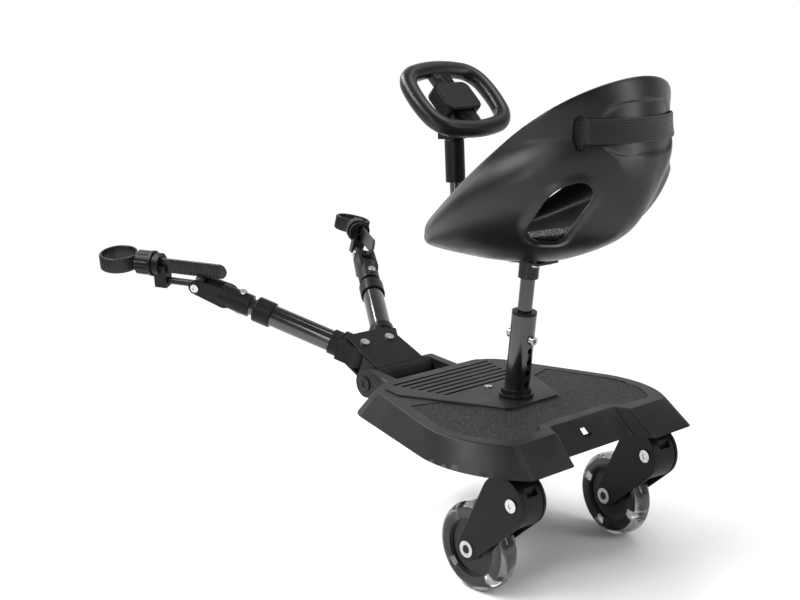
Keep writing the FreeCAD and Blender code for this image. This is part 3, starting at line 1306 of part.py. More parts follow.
# Arms: a socket on the bracket, a telescopic tube, a fork, a link and a ribbed strap with its lock ring.
for side, hand in SIDES:
    arm = HITCH * shift(s.pivot_x, s.pivot_y * hand) * turned(Z_AXIS, s.arm_splay * hand)
    piece(side + "_arm_socket", cut(
        join(rod("z", s.knuckle_radius, -s.knuckle_half, s.knuckle_half),
             block(0, s.neck_end, -s.neck_half_width, s.neck_half_width, -s.knuckle_half, s.knuckle_half),
             rod("x", s.socket_ring_radius, s.socket_ring_start, s.socket_ring_end)),
        rod("z", s.pivot_radius + s.running_gap, -s.knuckle_half, s.knuckle_half),
        rod("x", s.arm_tube_radius + s.screw_gap, s.arm_tube_start, s.socket_ring_end),
    ), arm)
    piece(side + "_arm_tube", ring("x", s.arm_tube_radius, s.arm_tube_bore, s.arm_tube_start, s.arm_tube_end), arm)
    piece(side + "_arm_collar", cut(
        rounded(rod("x", s.collar_radius, s.collar_start, s.collar_end), s.collar_edge, closed),
        rod("x", s.arm_tube_radius + s.screw_gap, s.collar_start, s.arm_tube_end),
        rod("x", s.inner_tube_radius + s.running_gap, s.arm_tube_end, s.collar_end),
    ), arm)
    bolt_hole = rod("z", s.fork_bolt_radius + s.screw_gap, -s.fork_sleeve_radius, s.fork_sleeve_radius, s.fork_bolt_x)
    piece(side + "_inner_tube", cut(
        ring("x", s.inner_tube_radius, s.inner_tube_bore, s.inner_tube_start, s.inner_tube_end), bolt_hole), arm)
    tine = Body(side + "_tine_body")
    tine_end = s.fork_tine_inner + s.fork_tine_thickness
    tine_side = tine.sketch("XZ_Plane", lift=-tine_end)
    tapered(tine_side, s.fork_tine_root_x, 0, s.fork_tine_root_radius, s.clevis_x, 0, s.fork_tine_radius)
    tine.pad(tine_side, s.fork_tine_thickness)
    piece(side + "_fork", cut(
        join(rod("x", s.fork_sleeve_radius, s.fork_sleeve_start, s.fork_sleeve_end), tine.item, across(tine.item)),
        rod("x", s.inner_tube_radius + s.screw_gap, s.fork_sleeve_start, s.inner_tube_end),
        rod("z", s.fork_bolt_radius + s.screw_gap, -s.fork_sleeve_radius, s.fork_sleeve_radius, s.fork_bolt_x),
        rod("y", s.clevis_radius + s.screw_gap, -tine_end, tine_end, s.clevis_x),
    ), arm)
    bolt_top = s.fork_sleeve_radius + s.fork_bolt_head_height
    clevis_end = tine_end + s.clevis_head_height
    piece(side + "_fork_screws", group(
        join(rod("z", s.fork_bolt_radius, -s.fork_sleeve_radius, s.fork_sleeve_radius, s.fork_bolt_x),
             rod("z", s.fork_bolt_head, s.fork_sleeve_radius, bolt_top, s.fork_bolt_x),
             rod("z", s.fork_bolt_nut, -bolt_top, -s.fork_sleeve_radius, s.fork_bolt_x)),
        cut(join(rod("y", s.clevis_radius, -tine_end, tine_end, s.clevis_x),
                 rod("y", s.clevis_head, tine_end, clevis_end, s.clevis_x),
                 rod("y", s.clevis_head, -clevis_end, -tine_end, s.clevis_x)),
            rod("y", s.clevis_socket, clevis_end - s.socket_depth, clevis_end, s.clevis_x),
            rod("y", s.clevis_socket, -clevis_end, -(clevis_end - s.socket_depth), s.clevis_x)),
    ), arm)
    link = arm * shift(s.clevis_x) * turned(Y_AXIS, s.link_drop)
    piece(side + "_link", cut(
        join(rod("y", s.link_eye_radius, -s.link_eye_half, s.link_eye_half),
             rod("x", s.link_rod_radius, s.clevis_radius, s.link_rod_end)),
        rod("y", s.clevis_radius + s.running_gap, -s.link_eye_half, s.link_eye_half),
    ), link)
    slot_half = s.band_parting + s.band_thickness + s.band_slot_gap
    slot_reach = s.band_half_height + s.band_slot_gap
    piece(side + "_strap_holder", cut(
        join(block(s.holder_rear, s.holder_front, -s.holder_half, s.holder_half, s.holder_low, s.strap_z),
             rod("x", s.snout_radius, s.snout_rear, s.snout_front, 0, 0, s.strap_z),
             rod("x", s.snout_shoulder, s.snout_rear, s.snout_shoulder_end, 0, 0, s.strap_z)),
        rod("x", s.link_rod_radius + s.screw_gap, s.holder_rear, s.link_rod_end),
        block(s.holder_rear, s.snout_front, -slot_half, slot_half, s.strap_z - slot_reach, s.strap_z + slot_reach),
    ), link)
    strap = Body(side + "_strap_body")
    band = strap.sketch(lift=s.strap_z - s.band_half_height)
    inner = s.band_parting
    outer = s.band_parting + s.band_thickness
    loop_outer = s.loop_radius + s.band_thickness
    flare_y = outer + s.loop_flare
    span = loop_outer + s.loop_flare
    flare_x = s.loop_x - root(span * span - flare_y * flare_y)
    cos_way = (s.loop_x - flare_x) / span
    sin_way = flare_y / span
    wide = s.loop_flare + s.band_thickness
    half_band = [
        (flare_x, outer), (flare_x + s.loop_flare * cos_way, flare_y - s.loop_flare * sin_way),
    ]
    inside_band = [
        (flare_x + wide * cos_way, flare_y - wide * sin_way), (flare_x, inner),
    ]
    spots = [(s.tail_end, outer)] + half_band + [(s.loop_x + loop_outer, 0)]
    spots += [(x, -y) for x, y in reversed(half_band)]
    spots += [(s.band_fixed_end, -outer), (s.band_fixed_end, -inner)]
    spots += [(x, -y) for x, y in reversed(inside_band)]
    spots += [(s.loop_x + s.loop_radius, 0)] + inside_band + [(s.tail_end, inner)]
    bends = {1: s.loop_flare, 2: -loop_outer, 3: -loop_outer, 4: s.loop_flare, 8: -wide, 9: s.loop_radius,
             10: s.loop_radius, 11: -wide}
    contour(band, [(x, y * hand) for x, y in spots], {k: bend * hand for k, bend in bends.items()})
    strap.pad(band, s.band_half_height * 2)
    rib = strap.sketch(lift=s.strap_z - s.rib_half)
    contour(rib, [
        (s.rib_first, outer * hand), (s.rib_first + s.rib_width, outer * hand),
        (s.rib_first + s.rib_width, (outer + s.rib_height) * hand), (s.rib_first, (outer + s.rib_height) * hand),
    ], {})
    rib_pad = strap.pad(rib, s.rib_half * 2)
    row = strap.item.newObject("PartDesign::LinearPattern", "row")
    row.Originals = [rib_pad]
    row.Direction = (rib, ["H_Axis"])
    bind(row, "Length", s.rib_pitch * (s.rib_count - 1))
    bind(row, "Occurrences", s.rib_count)
    strap.item.Tip = row
    piece(side + "_strap", strap, link)
    knurls = []
    for k in range(int(s.knurl_count.number)):
        angle = 2 * math.pi * k / s.knurl_count.number
        knurls.append(rod("x", s.knurl_radius, s.ring_flange_end, s.ring_end, 0,
                          s.knurl_place * math.cos(angle), s.strap_z + s.knurl_place * math.sin(angle)))
    piece(side + "_lock_ring", cut(
        join(rod("x", s.ring_radius, s.ring_start, s.ring_end, 0, 0, s.strap_z),
             rod("x", s.ring_flange_radius, s.ring_start, s.ring_flange_end, 0, 0, s.strap_z)),
        rod("x", s.snout_radius + s.ring_inner_gap, s.ring_start, s.ring_end, 0, 0, s.strap_z), *knurls), link)

doc.recompute()
for item in doc.Objects:
    if "Invalid" in item.State or "Error" in item.State:
        raise RuntimeError("%s (%s) is not sound: %s" % (item.Label, item.Name, item.State))
os.makedirs("parts", exist_ok=True)
for item in nodes:
    if item.Shape.isNull() or not item.Shape.isValid() or not item.Shape.Solids:
        raise RuntimeError("%s has no valid shape" % item.Label)
    item.Shape.exportStep("parts/%s.step" % item.Label)
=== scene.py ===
import json
import math
import bmesh
import bpy
import numpy as np
from mathutils import Matrix, Vector
from mathutils.bvhtree import BVHTree


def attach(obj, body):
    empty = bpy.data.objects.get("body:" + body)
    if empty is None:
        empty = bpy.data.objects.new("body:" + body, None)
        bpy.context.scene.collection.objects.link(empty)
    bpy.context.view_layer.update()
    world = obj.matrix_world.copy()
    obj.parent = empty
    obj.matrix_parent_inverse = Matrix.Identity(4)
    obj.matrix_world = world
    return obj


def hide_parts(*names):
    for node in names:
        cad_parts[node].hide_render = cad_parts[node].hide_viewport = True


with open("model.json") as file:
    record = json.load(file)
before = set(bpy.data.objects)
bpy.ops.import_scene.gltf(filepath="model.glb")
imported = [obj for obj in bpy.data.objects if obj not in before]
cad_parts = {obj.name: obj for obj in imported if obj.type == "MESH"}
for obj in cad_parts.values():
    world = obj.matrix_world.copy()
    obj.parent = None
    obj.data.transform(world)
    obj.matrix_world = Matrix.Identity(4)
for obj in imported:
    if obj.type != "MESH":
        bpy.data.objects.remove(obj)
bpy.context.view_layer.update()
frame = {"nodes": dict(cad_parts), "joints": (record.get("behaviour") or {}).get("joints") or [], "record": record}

# Deck: one black polypropylene moulding, hollow below, with drafted skirts and a raised grooved foot area.
# It comes out of a spark-eroded tool, so the skin is matt with a fine grain; its edges are painted paler as a
# highlight.
MM = 0.001
# faint clouds that the flow of the melt leaves in a moulded skin
CLOUD_MM = 35.0
# corners sharper than the first angle are edges of the real piece; below the second, two faces are one
EDGE_ANGLE = math.radians(30.0)
FLAT_ANGLE = math.radians(0.1)
EDGE_STEPS = 2
WELD_REACH = 0.001 * MM
home = {node: body for body, members in frame["record"]["behaviour"]["bodies"].items() for node in members}


def colour(text):
    """An sRGB hex value as linear red, green, blue and alpha."""
    channels = [int(text[i:i + 2], 16) / 255 for i in (0, 2, 4)]
    return [c / 12.92 if c <= 0.04045 else ((c + 0.055) / 1.055) ** 2.4 for c in channels] + [1.0]


def add(tree, kind, inputs=None, **settings):
    """Adds a node, sets it up and links the sockets that are given."""
    node = tree.nodes.new(kind)
    for name, value in settings.items():
        setattr(node, name, value)
    for name, value in (inputs or {}).items():
        if isinstance(value, bpy.types.NodeSocket):
            tree.links.new(value, node.inputs[name])
        else:
            node.inputs[name].default_value = value
    return node


def bare_material(name):
    """A material with an empty node tree."""
    material = bpy.data.materials.new(name)
    material.use_nodes = True
    material.node_tree.nodes.clear()
    return material, material.node_tree


def moulded(name, dark, pale, rough, grain_mm, grain_depth_mm, specular=0.4):
    """Injection-moulded polymer: clouded tone, grained skin, uneven gloss where it has been handled.
    The real grain is near 0.3 mm; it is drawn coarser so that it shows."""
    material, tree = bare_material(name)
    place = add(tree, "ShaderNodeTexCoord").outputs["Object"]
    cloud = add(tree, "ShaderNodeTexNoise", {"Vector": place, "Scale": 1 / (CLOUD_MM * MM), "Detail": 5.0})
    grain = add(tree, "ShaderNodeTexNoise", {"Vector": place, "Scale": 1 / (grain_mm * MM), "Detail": 3.0})
    mixed = add(tree, "ShaderNodeMath", {0: cloud.outputs["Fac"], 1: grain.outputs["Fac"]},
                operation="MULTIPLY")
    share = add(tree, "ShaderNodeMapRange", {"Value": mixed.outputs[0], "From Min": 0.12, "From Max": 0.42})
    tone = add(tree, "ShaderNodeMix", {0: share.outputs[0], 6: colour(dark), 7: colour(pale)},
               data_type="RGBA")
    gloss = add(tree, "ShaderNodeMapRange", {
        "Value": cloud.outputs["Fac"], "From Min": 0.3, "From Max": 0.7,
        "To Min": rough - 0.04, "To Max": rough + 0.05})
    bump = add(tree, "ShaderNodeBump", {
        "Height": grain.outputs["Fac"], "Strength": 0.6, "Distance": grain_depth_mm * MM})
    skin = add(tree, "ShaderNodeBsdfPrincipled", {
        "Base Color": tone.outputs[2], "Roughness": gloss.outputs[0], "Normal": bump.outputs[0], "IOR": 1.49,
        "Specular IOR Level": specular})
    add(tree, "ShaderNodeOutputMaterial", {"Surface": skin.outputs[0]})
    return material


def break_edges(form, edge_mm, material):
    """Rounds off the sharp edges of a form."""
    edges = [e for e in form.edges if e.is_manifold and e.calc_face_angle() > EDGE_ANGLE]
    bmesh.ops.bevel(form, geom=edges, offset=edge_mm * MM, offset_type="OFFSET", segments=EDGE_STEPS,
                    profile=0.5, affect="EDGES", clamp_overlap=True, material=material)


def in_scene(name, mesh):
    """Puts a mesh in the scene as a piece at the origin."""
    piece = bpy.data.objects.new(name, mesh)
    bpy.context.scene.collection.objects.link(piece)
    return piece


def stand_for(piece, node):
    """Lets a piece take a solid's place and move with the solid's body."""
    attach(piece, home[node])
    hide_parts(node)


def refined(node, materials, edge_mm=0.4, dark=None):
    """A welded copy of a solid with its edges broken, smooth where the real one is; it stands for the solid.
    Broken edges take the last material, paler on the mouldings as a painted highlight. Faces that pass the
    dark test, such as a drive socket, take the second one as painted shade in the recess. With an edge of 0
    the copy is only welded and smoothed."""
    mesh = frame["nodes"][node].data.copy()
    mesh.materials.clear()
    for material in materials:
        mesh.materials.append(material)
    form = bmesh.new()
    form.from_mesh(mesh)
    for face in form.faces:
        face.material_index = 1 if dark and dark(face) else 0
        face.smooth = True
    bmesh.ops.remove_doubles(form, verts=form.verts, dist=WELD_REACH)
    if edge_mm:
        bmesh.ops.dissolve_limit(form, angle_limit=FLAT_ANGLE, verts=form.verts, edges=form.edges,
                                 delimit={"MATERIAL"})
        break_edges(form, edge_mm, 0 if dark else len(materials) - 1)
    form.to_mesh(mesh)
    form.free()
    mesh.set_sharp_from_angle(angle=EDGE_ANGLE)
    piece = in_scene(node + "_finished", mesh)
    if edge_mm:
        weigh = piece.modifiers.new("weigh", "WEIGHTED_NORMAL")
        weigh.keep_sharp = True
        even = bpy.data.meshes.new_from_object(piece.evaluated_get(bpy.context.evaluated_depsgraph_get()))
        piece.modifiers.remove(weigh)
        piece.data = even
    stand_for(piece, node)


# matt black and a little clouded, with a fine grain that breaks up the light on the broad faces
deck_skin = moulded("polypropylene_black_grained", "101011", "1d1d1e", rough=0.46, grain_mm=1.6,
                    grain_depth_mm=0.10, specular=0.25)
# paler along the edges as a painted highlight, so each edge shows as a thin light line, and smoother there
deck_edge_highlight = moulded("polypropylene_edge_painted_highlight", "1c1c1d", "2c2c2d", rough=0.4, grain_mm=1.6,
                    grain_depth_mm=0.05, specular=0.3)
refined("deck", [deck_skin, deck_edge_highlight], edge_mm=0.35)

# Grip pad: a U-shaped sheet of black rubber with a gritted face, let into the deck and glued down.
# The grit is rolled in while the rubber is soft, so every grain has its own tone and stands up a little.


def speckled(name, ground, speck, cell_mm, limit, rough, depth_mm):
    """Rubber or foam with pale grains pressed into it, one to a cell where chance passes the limit.
    Real grains are near 0.8 mm across; the cells are coarser so that they show."""
    material, tree = bare_material(name)
    place = add(tree, "ShaderNodeTexCoord").outputs["Object"]
    cells = add(tree, "ShaderNodeTexVoronoi", {"Vector": place, "Scale": 1 / (cell_mm * MM)})
    chance = add(tree, "ShaderNodeSeparateColor", {"Color": cells.outputs["Color"]})
    share = add(tree, "ShaderNodeMapRange", {
        "Value": chance.outputs[0], "From Min": limit, "From Max": limit + 0.25},
        interpolation_type="SMOOTHSTEP")
    core = add(tree, "ShaderNodeMapRange", {
        "Value": cells.outputs["Distance"], "From Min": 0.6, "From Max": 0.2})
    grain = add(tree, "ShaderNodeMath", {0: share.outputs[0], 1: core.outputs[0]}, operation="MULTIPLY")
    tone = add(tree, "ShaderNodeMix", {0: grain.outputs[0], 6: colour(ground), 7: colour(speck)},
               data_type="RGBA")
    gloss = add(tree, "ShaderNodeMapRange", {
        "Value": chance.outputs[1], "To Min": rough - 0.12, "To Max": rough + 0.1})
    bump = add(tree, "ShaderNodeBump", {
        "Height": core.outputs[0], "Strength": 0.7, "Distance": depth_mm * MM})
    skin = add(tree, "ShaderNodeBsdfPrincipled", {
        "Base Color": tone.outputs[2], "Roughness": gloss.outputs[0], "Normal": bump.outputs[0], "IOR": 1.5,
        "Specular IOR Level": 0.35})
    add(tree, "ShaderNodeOutputMaterial", {"Surface": skin.outputs[0]})
    return material


# dull black with dark grey grains that catch the light one by one
grip_skin = speckled("rubber_gritted", "0d0d0e", "4a4a4b", cell_mm=1.5, limit=0.45, rough=0.7, depth_mm=0.5)
refined("grip_pad", [grip_skin], edge_mm=0.5)

# Screws, pins and bolts: turned steel, zinc plated or blackened, the screws with drive sockets in their heads.
# One screw holds down the foot area, and the hinge pin joins the deck and the hitch.
PLATING_CLOUD_MM = 4.0
PLATING_DEPTH_MM = 0.05


def steel(name, base, shade, rough):
    """Plated steel: slightly clouded, with an uneven polish."""
    material, tree = bare_material(name)
    place = add(tree, "ShaderNodeTexCoord").outputs["Object"]
    cloud = add(tree, "ShaderNodeTexNoise", {
        "Vector": place, "Scale": 1 / (PLATING_CLOUD_MM * MM), "Detail": 4.0})
    tone = add(tree, "ShaderNodeMix", {0: cloud.outputs["Fac"], 6: colour(base), 7: colour(shade)},
               data_type="RGBA")
    gloss = add(tree, "ShaderNodeMapRange", {
        "Value": cloud.outputs["Fac"], "To Min": rough - 0.1, "To Max": rough + 0.1})
    bump = add(tree, "ShaderNodeBump", {
        "Height": cloud.outputs["Fac"], "Strength": 0.3, "Distance": PLATING_DEPTH_MM * MM})
    skin = add(tree, "ShaderNodeBsdfPrincipled", {
        "Base Color": tone.outputs[2], "Roughness": gloss.outputs[0], "Normal": bump.outputs[0],
        "Metallic": 1.0})
    add(tree, "ShaderNodeOutputMaterial", {"Surface": skin.outputs[0]})
    return material


# the only bright spots on the board: pale grey heads with a soft, patchy shine
zinc = steel("steel_zinc_plated", "d8d8d6", "a8a8a6", rough=0.3)
# dark and dull, so that pins and brackets stay behind the plastics
dark_steel = steel("steel_black_oxide_and_socket_shade", "3a3a3b", "2a2a2b", rough=0.4)
refined("platform_screw", [zinc], edge_mm=0.2)
refined("hinge_pin", [dark_steel], edge_mm=0.4)

# Casters: a nylon drum swivels on a steel stem under the deck; two moulded fork plates bolted to it hold
# the wheel, a clear polyurethane tyre cast round a black nylon core that runs on two ball bearings.
WHEEL_RADIUS = 50.0
WHEEL_HALF = 12.35
TREAD_ROUNDING = 8.2
CORE_RADIUS = 44.0
CORE_HALF = 10.5
# half of the core's section as radius and half width: bearing seat, hub, web and rim
CORE_SECTION = [(6.5, 5.0), (11.1, 5.0), (11.1, 12.0), (15.0, 12.0), (15.0, 8.0), (31.0, 8.0),
                (31.0, CORE_HALF)]
# half of the tread's section, a quarter round from the side to the running face
TREAD_SECTION = [(WHEEL_RADIUS - TREAD_ROUNDING * (1 - math.sin(math.radians(turn))),
                  WHEEL_HALF - TREAD_ROUNDING * (1 - math.cos(math.radians(turn))))
                 for turn in range(0, 91, 9)]
# the cast covers the core's sides down to its lip; as it cools, it grips them and stands a little off the rim
LIP_RADIUS = 32.8
CAST_BITE = 0.05
CAST_GAP = 0.1
# deep notches key the core into the cast; their turns are in degrees round the axle
NOTCH_COUNT = 4
NOTCH_FLOOR = 34.0
NOTCH_HALF_TURN = 7.5
NOTCH_FLANK_TURN = 1.2
NOTCH_TURN = {"left": 48.0, "right": 20.0}
TURN_STEP = 2.5
WHEEL_EDGE_MM = 0.3
SOCKET_RADIUS = 5.2
HAZE_MM = 12.0
joints = {joint["name"]: joint for joint in frame["joints"]}
# deep black with a low sheen and a light grain, for all small mouldings
nylon = moulded("nylon_black_grained", "0a0a0b", "141415", rough=0.42, grain_mm=1.4, grain_depth_mm=0.08,
                specular=0.18)
# the same, a shade paler along the edges as a painted highlight, and smoother there
nylon_edge_highlight = moulded("nylon_edge_painted_highlight", "121213", "1f1f20", rough=0.36, grain_mm=1.4, grain_depth_mm=0.04,
                     specular=0.3)
# the darkest of the plastics, so that the clear tyre stands out round it
core_skin = moulded("nylon_wheel_core", "08080a", "121213", rough=0.34, grain_mm=1.5, grain_depth_mm=0.06)
# a smoky clear ring that bends what is behind it and shows the notches of the core as pale windows
clear, tree = bare_material("polyurethane_clear_cast")
place = add(tree, "ShaderNodeTexCoord").outputs["Object"]
haze = add(tree, "ShaderNodeTexNoise", {"Vector": place, "Scale": 1 / (HAZE_MM * MM), "Detail": 3.0})
tone = add(tree, "ShaderNodeMix", {0: haze.outputs["Fac"], 6: colour("8e8e8d"), 7: colour("a8a8a7")},
           data_type="RGBA")
gloss = add(tree, "ShaderNodeMapRange", {"Value": haze.outputs["Fac"], "To Min": 0.02, "To Max": 0.14})
cast = add(tree, "ShaderNodeBsdfPrincipled", {
    "Base Color": tone.outputs[2], "Roughness": gloss.outputs[0], "IOR": 1.5, "Transmission Weight": 1.0})
add(tree, "ShaderNodeOutputMaterial", {"Surface": cast.outputs[0]})


def wheel_stations(turn):
    """Angles round the axle, each with its share of the notch depth."""
    marks = []
    for k in range(NOTCH_COUNT):
        middle = turn + 360 / NOTCH_COUNT * k
        marks += [(middle - NOTCH_HALF_TURN - NOTCH_FLANK_TURN, 0), (middle - NOTCH_HALF_TURN, 1),
                  (middle + NOTCH_HALF_TURN, 1), (middle + NOTCH_HALF_TURN + NOTCH_FLANK_TURN, 0)]
    stations = []
    for (start, depth), (end, after) in zip(marks, marks[1:] + [(marks[0][0] + 360, 0)]):
        steps = max(1, round((end - start) / TURN_STEP))
        stations += [(math.radians(start + (end - start) * i / steps), depth + (after - depth) * i / steps)
                     for i in range(steps)]
    return stations


def smooth_mesh(form, name, material, edge_angle):
    """A mesh from a form, in one material, smooth but for its sharp edges."""
    for face in form.faces:
        face.smooth = True
        face.material_index = 0
    mesh = bpy.data.meshes.new(name)
    form.to_mesh(mesh)
    form.free()
    mesh.materials.append(material)
    mesh.set_sharp_from_angle(angle=edge_angle)
    return mesh


def skin_rings(form, rings):
    """Joins each ring of points to the next by a band of faces."""
    for low, high in zip(rings, rings[1:]):
        for k in range(len(low)):
            n = (k + 1) % len(low)
            form.faces.new((low[k], low[n], high[n], high[k]))


def turned(node, material, axle, stance, stations, sections):
    """A ring round the axle from its closed section at each angle; it stands for the solid."""
    form = bmesh.new()
    rings = [[form.verts.new(axle + stance @ Vector((r * math.cos(turn), y, r * math.sin(turn))) * MM)
              for r, y in section] for (turn, _), section in zip(stations, sections)]
    skin_rings(form, rings + rings[:1])
    bmesh.ops.recalc_face_normals(form, faces=form.faces)
    break_edges(form, WHEEL_EDGE_MM, 0)
    piece = in_scene(node + "_turned", smooth_mesh(form, node + "_turned", material, EDGE_ANGLE))
    stand_for(piece, node)


for side in ("left", "right"):
    spin = joints[side + "_wheel_spin"]
    axle = Vector(spin["pos_m"])
    stance = Vector((0, 1, 0)).rotation_difference(Vector(spin["axis"])).to_matrix()
    refined(side + "_caster_stem", [zinc], edge_mm=0.3)
    refined(side + "_caster_housing", [nylon, nylon_edge_highlight], edge_mm=0.5)
    refined(side + "_fork_plates", [nylon, nylon_edge_highlight], edge_mm=0.4)
    # the drive sockets round the axle take the dark steel as painted shade in their recesses
    refined(side + "_caster_bolts", [zinc, dark_steel], edge_mm=0.3, dark=lambda face: (
        stance.inverted() @ (face.calc_center_median() - axle)).xz.length < SOCKET_RADIUS * MM)
    stations = wheel_stations(NOTCH_TURN[side])
    rims = [CORE_RADIUS - depth * (CORE_RADIUS - NOTCH_FLOOR) for _, depth in stations]
    turned(side + "_wheel_core", core_skin, axle, stance, stations, [
        [(r, -y) for r, y in CORE_SECTION] + [(rim, -CORE_HALF), (rim, CORE_HALF)] + CORE_SECTION[::-1]
        for rim in rims])
    cast_half = CORE_HALF - CAST_BITE
    turned(side + "_tyre", clear, axle, stance, stations, [
        [(LIP_RADIUS, -cast_half), (LIP_RADIUS, -WHEEL_HALF)] + [(r, -y) for r, y in TREAD_SECTION]
        + TREAD_SECTION[::-1] + [(LIP_RADIUS, WHEEL_HALF), (LIP_RADIUS, cast_half)]
        + [(rim + CAST_GAP, cast_half), (rim + CAST_GAP, -cast_half)] for rim in rims])
    refined(side + "_wheel_bearings", [dark_steel], edge_mm=0.2)

# Seat post: a black enamelled steel tube in a moulded flange, with a row of height holes; a thinner tube
# slides in its bushing, a cross bolt with a dome nut sets the height, and a bracket carries the seat.
# deep gloss black that mirrors the floor and the lamps in long streaks
enamel = moulded("enamel_black_gloss", "0a0a0b", "121213", rough=0.14, grain_mm=6.0, grain_depth_mm=0.01,
                 specular=1.0)
refined("post_flange", [nylon, nylon_edge_highlight], edge_mm=0.6)
refined("lower_post_tube", [enamel], edge_mm=0.3)
refined("post_bushing", [nylon, nylon_edge_highlight], edge_mm=0.4)
refined("upper_post_tube", [enamel], edge_mm=0.3)
refined("height_bolt", [zinc], edge_mm=0.3)
refined("seat_bracket", [dark_steel], edge_mm=0.4)
refined("seat_screws", [zinc], edge_mm=0.3)

# Seat: a bucket of black polypropylene, injection moulded with a fine matt grain and a rounded lip all round.
# Its sections fan out from one line at the nose, and the flanks roll inward under the lip. Two oval openings
# low in the back have pressed-in borders; a flat raised panel on the back carries the belt.
STEMS_X = joints["left_caster_swivel"]["pos_m"][0] / MM
SEAT_PLACE = Vector((STEMS_X + 212.0, 0.0, 347.0))
# fan angle from the pan upward, reach of nose and back, radii of nose, flank and back
SEAT_SECTIONS = [
    (0.0, 36.0, 157.0, 44.0, 76.0, 22.0),
    (9.4, 14.5, 253.0, 74.0, 174.0, 20.0),
    (18.8, 8.0, 298.0, 99.0, 174.0, 45.0),
    (28.2, 8.0, 321.0, 108.0, 182.0, 92.0),
    (37.6, 8.0, 345.0, 104.0, 400.0, 116.0),
]
SEAT_TOP = len(SEAT_SECTIONS) - 1
SEAT_WALL = 4.0
SEAT_FLOOR = 3.5
# points along the nose, a flank, the back and the other flank
ARC_STEPS = (40, 56, 44, 56)
# rows up the wall, across the pan and over the lip, before the corners between them are rounded
WALL_ROWS = 90
PAN_ROWS = 12
LIP_ROWS = 9
# rows kept of outer pan, outer wall, lip, inner wall and inner pan, and steps in the bends between them
LEG_ROWS = (8, 110, 3, 90, 8)
BEND_STEPS = (8, 9, 5, 8)
# length taken off each leg for the bends: outer pan edge, outer lip, inner lip, inner pan edge
SEAT_BENDS = ((26.0, 26.0), (20.0, 3.6), (3.6, 6.0), (16.0, 16.0))
LONGEST_BEND = 0.45
PAN_MIDDLE = -96.5
PAN_HUB = 0.04
LIP_BEAD = 5.0
BEAD_POWER = 10
# the roll along the flanks: its size, where it fades in from the back and from the nose, the share of the
# height at which the lip starts to be drawn in, and the swell of the flank under it
FLANK_ROLL = 5.0
ROLL_FROM_BACK = (-250.0, -170.0)
ROLL_FROM_NOSE = (-45.0, -105.0)
LIP_START = 0.68
LIP_POWER = 2.2
BELLY_START = 0.4
BELLY_SPAN = 0.66
BELLY_SHARE = 0.6
# openings lie behind the first line, and the belt's slots and panel behind the second
OPENINGS_BEHIND = -130.0
BACK_BEHIND = -200.0
FAR_OFF = 99.0
# the openings are drawn in an upright plane turned to face each rear corner
HOLE_TURN = math.radians(41.4)
HOLE_REACH = 150.0
HOLE_ORIGIN = (-HOLE_REACH * math.sin(HOLE_TURN), HOLE_REACH * math.cos(HOLE_TURN))
# corners as across, height and rounding
HOLE_CORNERS = [(-82.0, 39.0, 13.0), (-117.0, 99.0, 45.0), (-173.0, 115.0, 13.0), (-126.0, 39.0, 14.0)]
SLOT_CORNERS = [(67.5, 137.0, 3.0), (76.5, 137.0, 3.0), (76.5, 172.0, 3.0), (67.5, 172.0, 3.0)]
PANEL_CORNERS = [(-64.0, 130.0, 26.0), (64.0, 130.0, 26.0), (54.0, 188.0, 38.0), (-54.0, 188.0, 38.0)]
CORNER_STEPS = 14
BORDER_WIDTH = 11.0
BORDER_DEPTH = 4.0
PANEL_RISE = 1.8
PANEL_EDGE = 3.2
SEAT_EDGE_ANGLE = math.radians(40)
# a cut this near to a point of the mesh goes through the point
SNAP_SHARE = 0.08
TINY = 1e-9


def egg(section, inset):
    """Points round one seat section: nose arc, left flank, back arc, right flank, all tangent."""
    nose, back = section[1] + inset, section[2] - inset
    nose_r, flank_r, back_r = (radius - inset for radius in section[3:])
    c1 = nose + nose_r
    c2 = back - back_r
    a = flank_r - nose_r
    b = flank_r - back_r
    gap = c2 - c1
    along = (a * a - b * b + gap * gap) / (2 * gap)
    drop = math.sqrt(a * a - along * along)
    front = math.pi - math.atan2(drop, -along)
    rear = math.pi - math.atan2(drop, gap - along)
    arcs = [
        (-c1, 0.0, nose_r, -front, front), (-c1 - along, -drop, flank_r, front, rear),
        (-c2, 0.0, back_r, rear, 2 * math.pi - rear), (-c1 - along, drop, flank_r, -rear, -front),
    ]
    spots = []
    for (x, y, radius, low, high), steps in zip(arcs, ARC_STEPS):
        turns = low + (high - low) * np.arange(steps) / steps
        spots.append(np.stack([x + radius * np.cos(turns), y + radius * np.sin(turns)], 1))
    return np.concatenate(spots)


def fan(inset, floor):
    """The seat's sections in space, drawn in by an inset and lifted off the floor."""
    rows = []
    for section in SEAT_SECTIONS:
        x, y = egg(section, inset).T
        angle = math.radians(section[0])
        lift = floor if not rows else 0.0
        rows.append(np.stack([x * math.cos(angle), y, lift - x * math.sin(angle)], 1))
    return np.stack(rows)


def splined(rows, places):
    """Natural cubic curve through the rows, read at the places."""
    count = len(rows)
    matrix = np.eye(count)
    right = np.zeros_like(rows)
    for i in range(1, count - 1):
        matrix[i, i - 1:i + 2] = (1, 4, 1)
        right[i] = 6 * (rows[i + 1] - 2 * rows[i] + rows[i - 1])
    bend = np.linalg.solve(matrix, right.reshape(count, -1)).reshape(rows.shape)
    out = []
    for place in places:
        i = min(int(place), count - 2)
        f = place - i
        g = 1 - f
        out.append(g * rows[i] + f * rows[i + 1]
                   + ((g ** 3 - g) * bend[i] + (f ** 3 - f) * bend[i + 1]) / 6)
    return np.stack(out)


def even_points(line, start, end, count):
    """Points spread evenly along a polyline, less a length at its start and at its end."""
    length = np.concatenate([[0], np.cumsum(np.linalg.norm(np.diff(line, axis=0), axis=1))])
    start = min(start, length[-1] * LONGEST_BEND)
    end = min(end, length[-1] * LONGEST_BEND)
    places = np.linspace(start, length[-1] - end, count)
    return np.stack([np.interp(places, length, line[:, k]) for k in range(3)], 1)


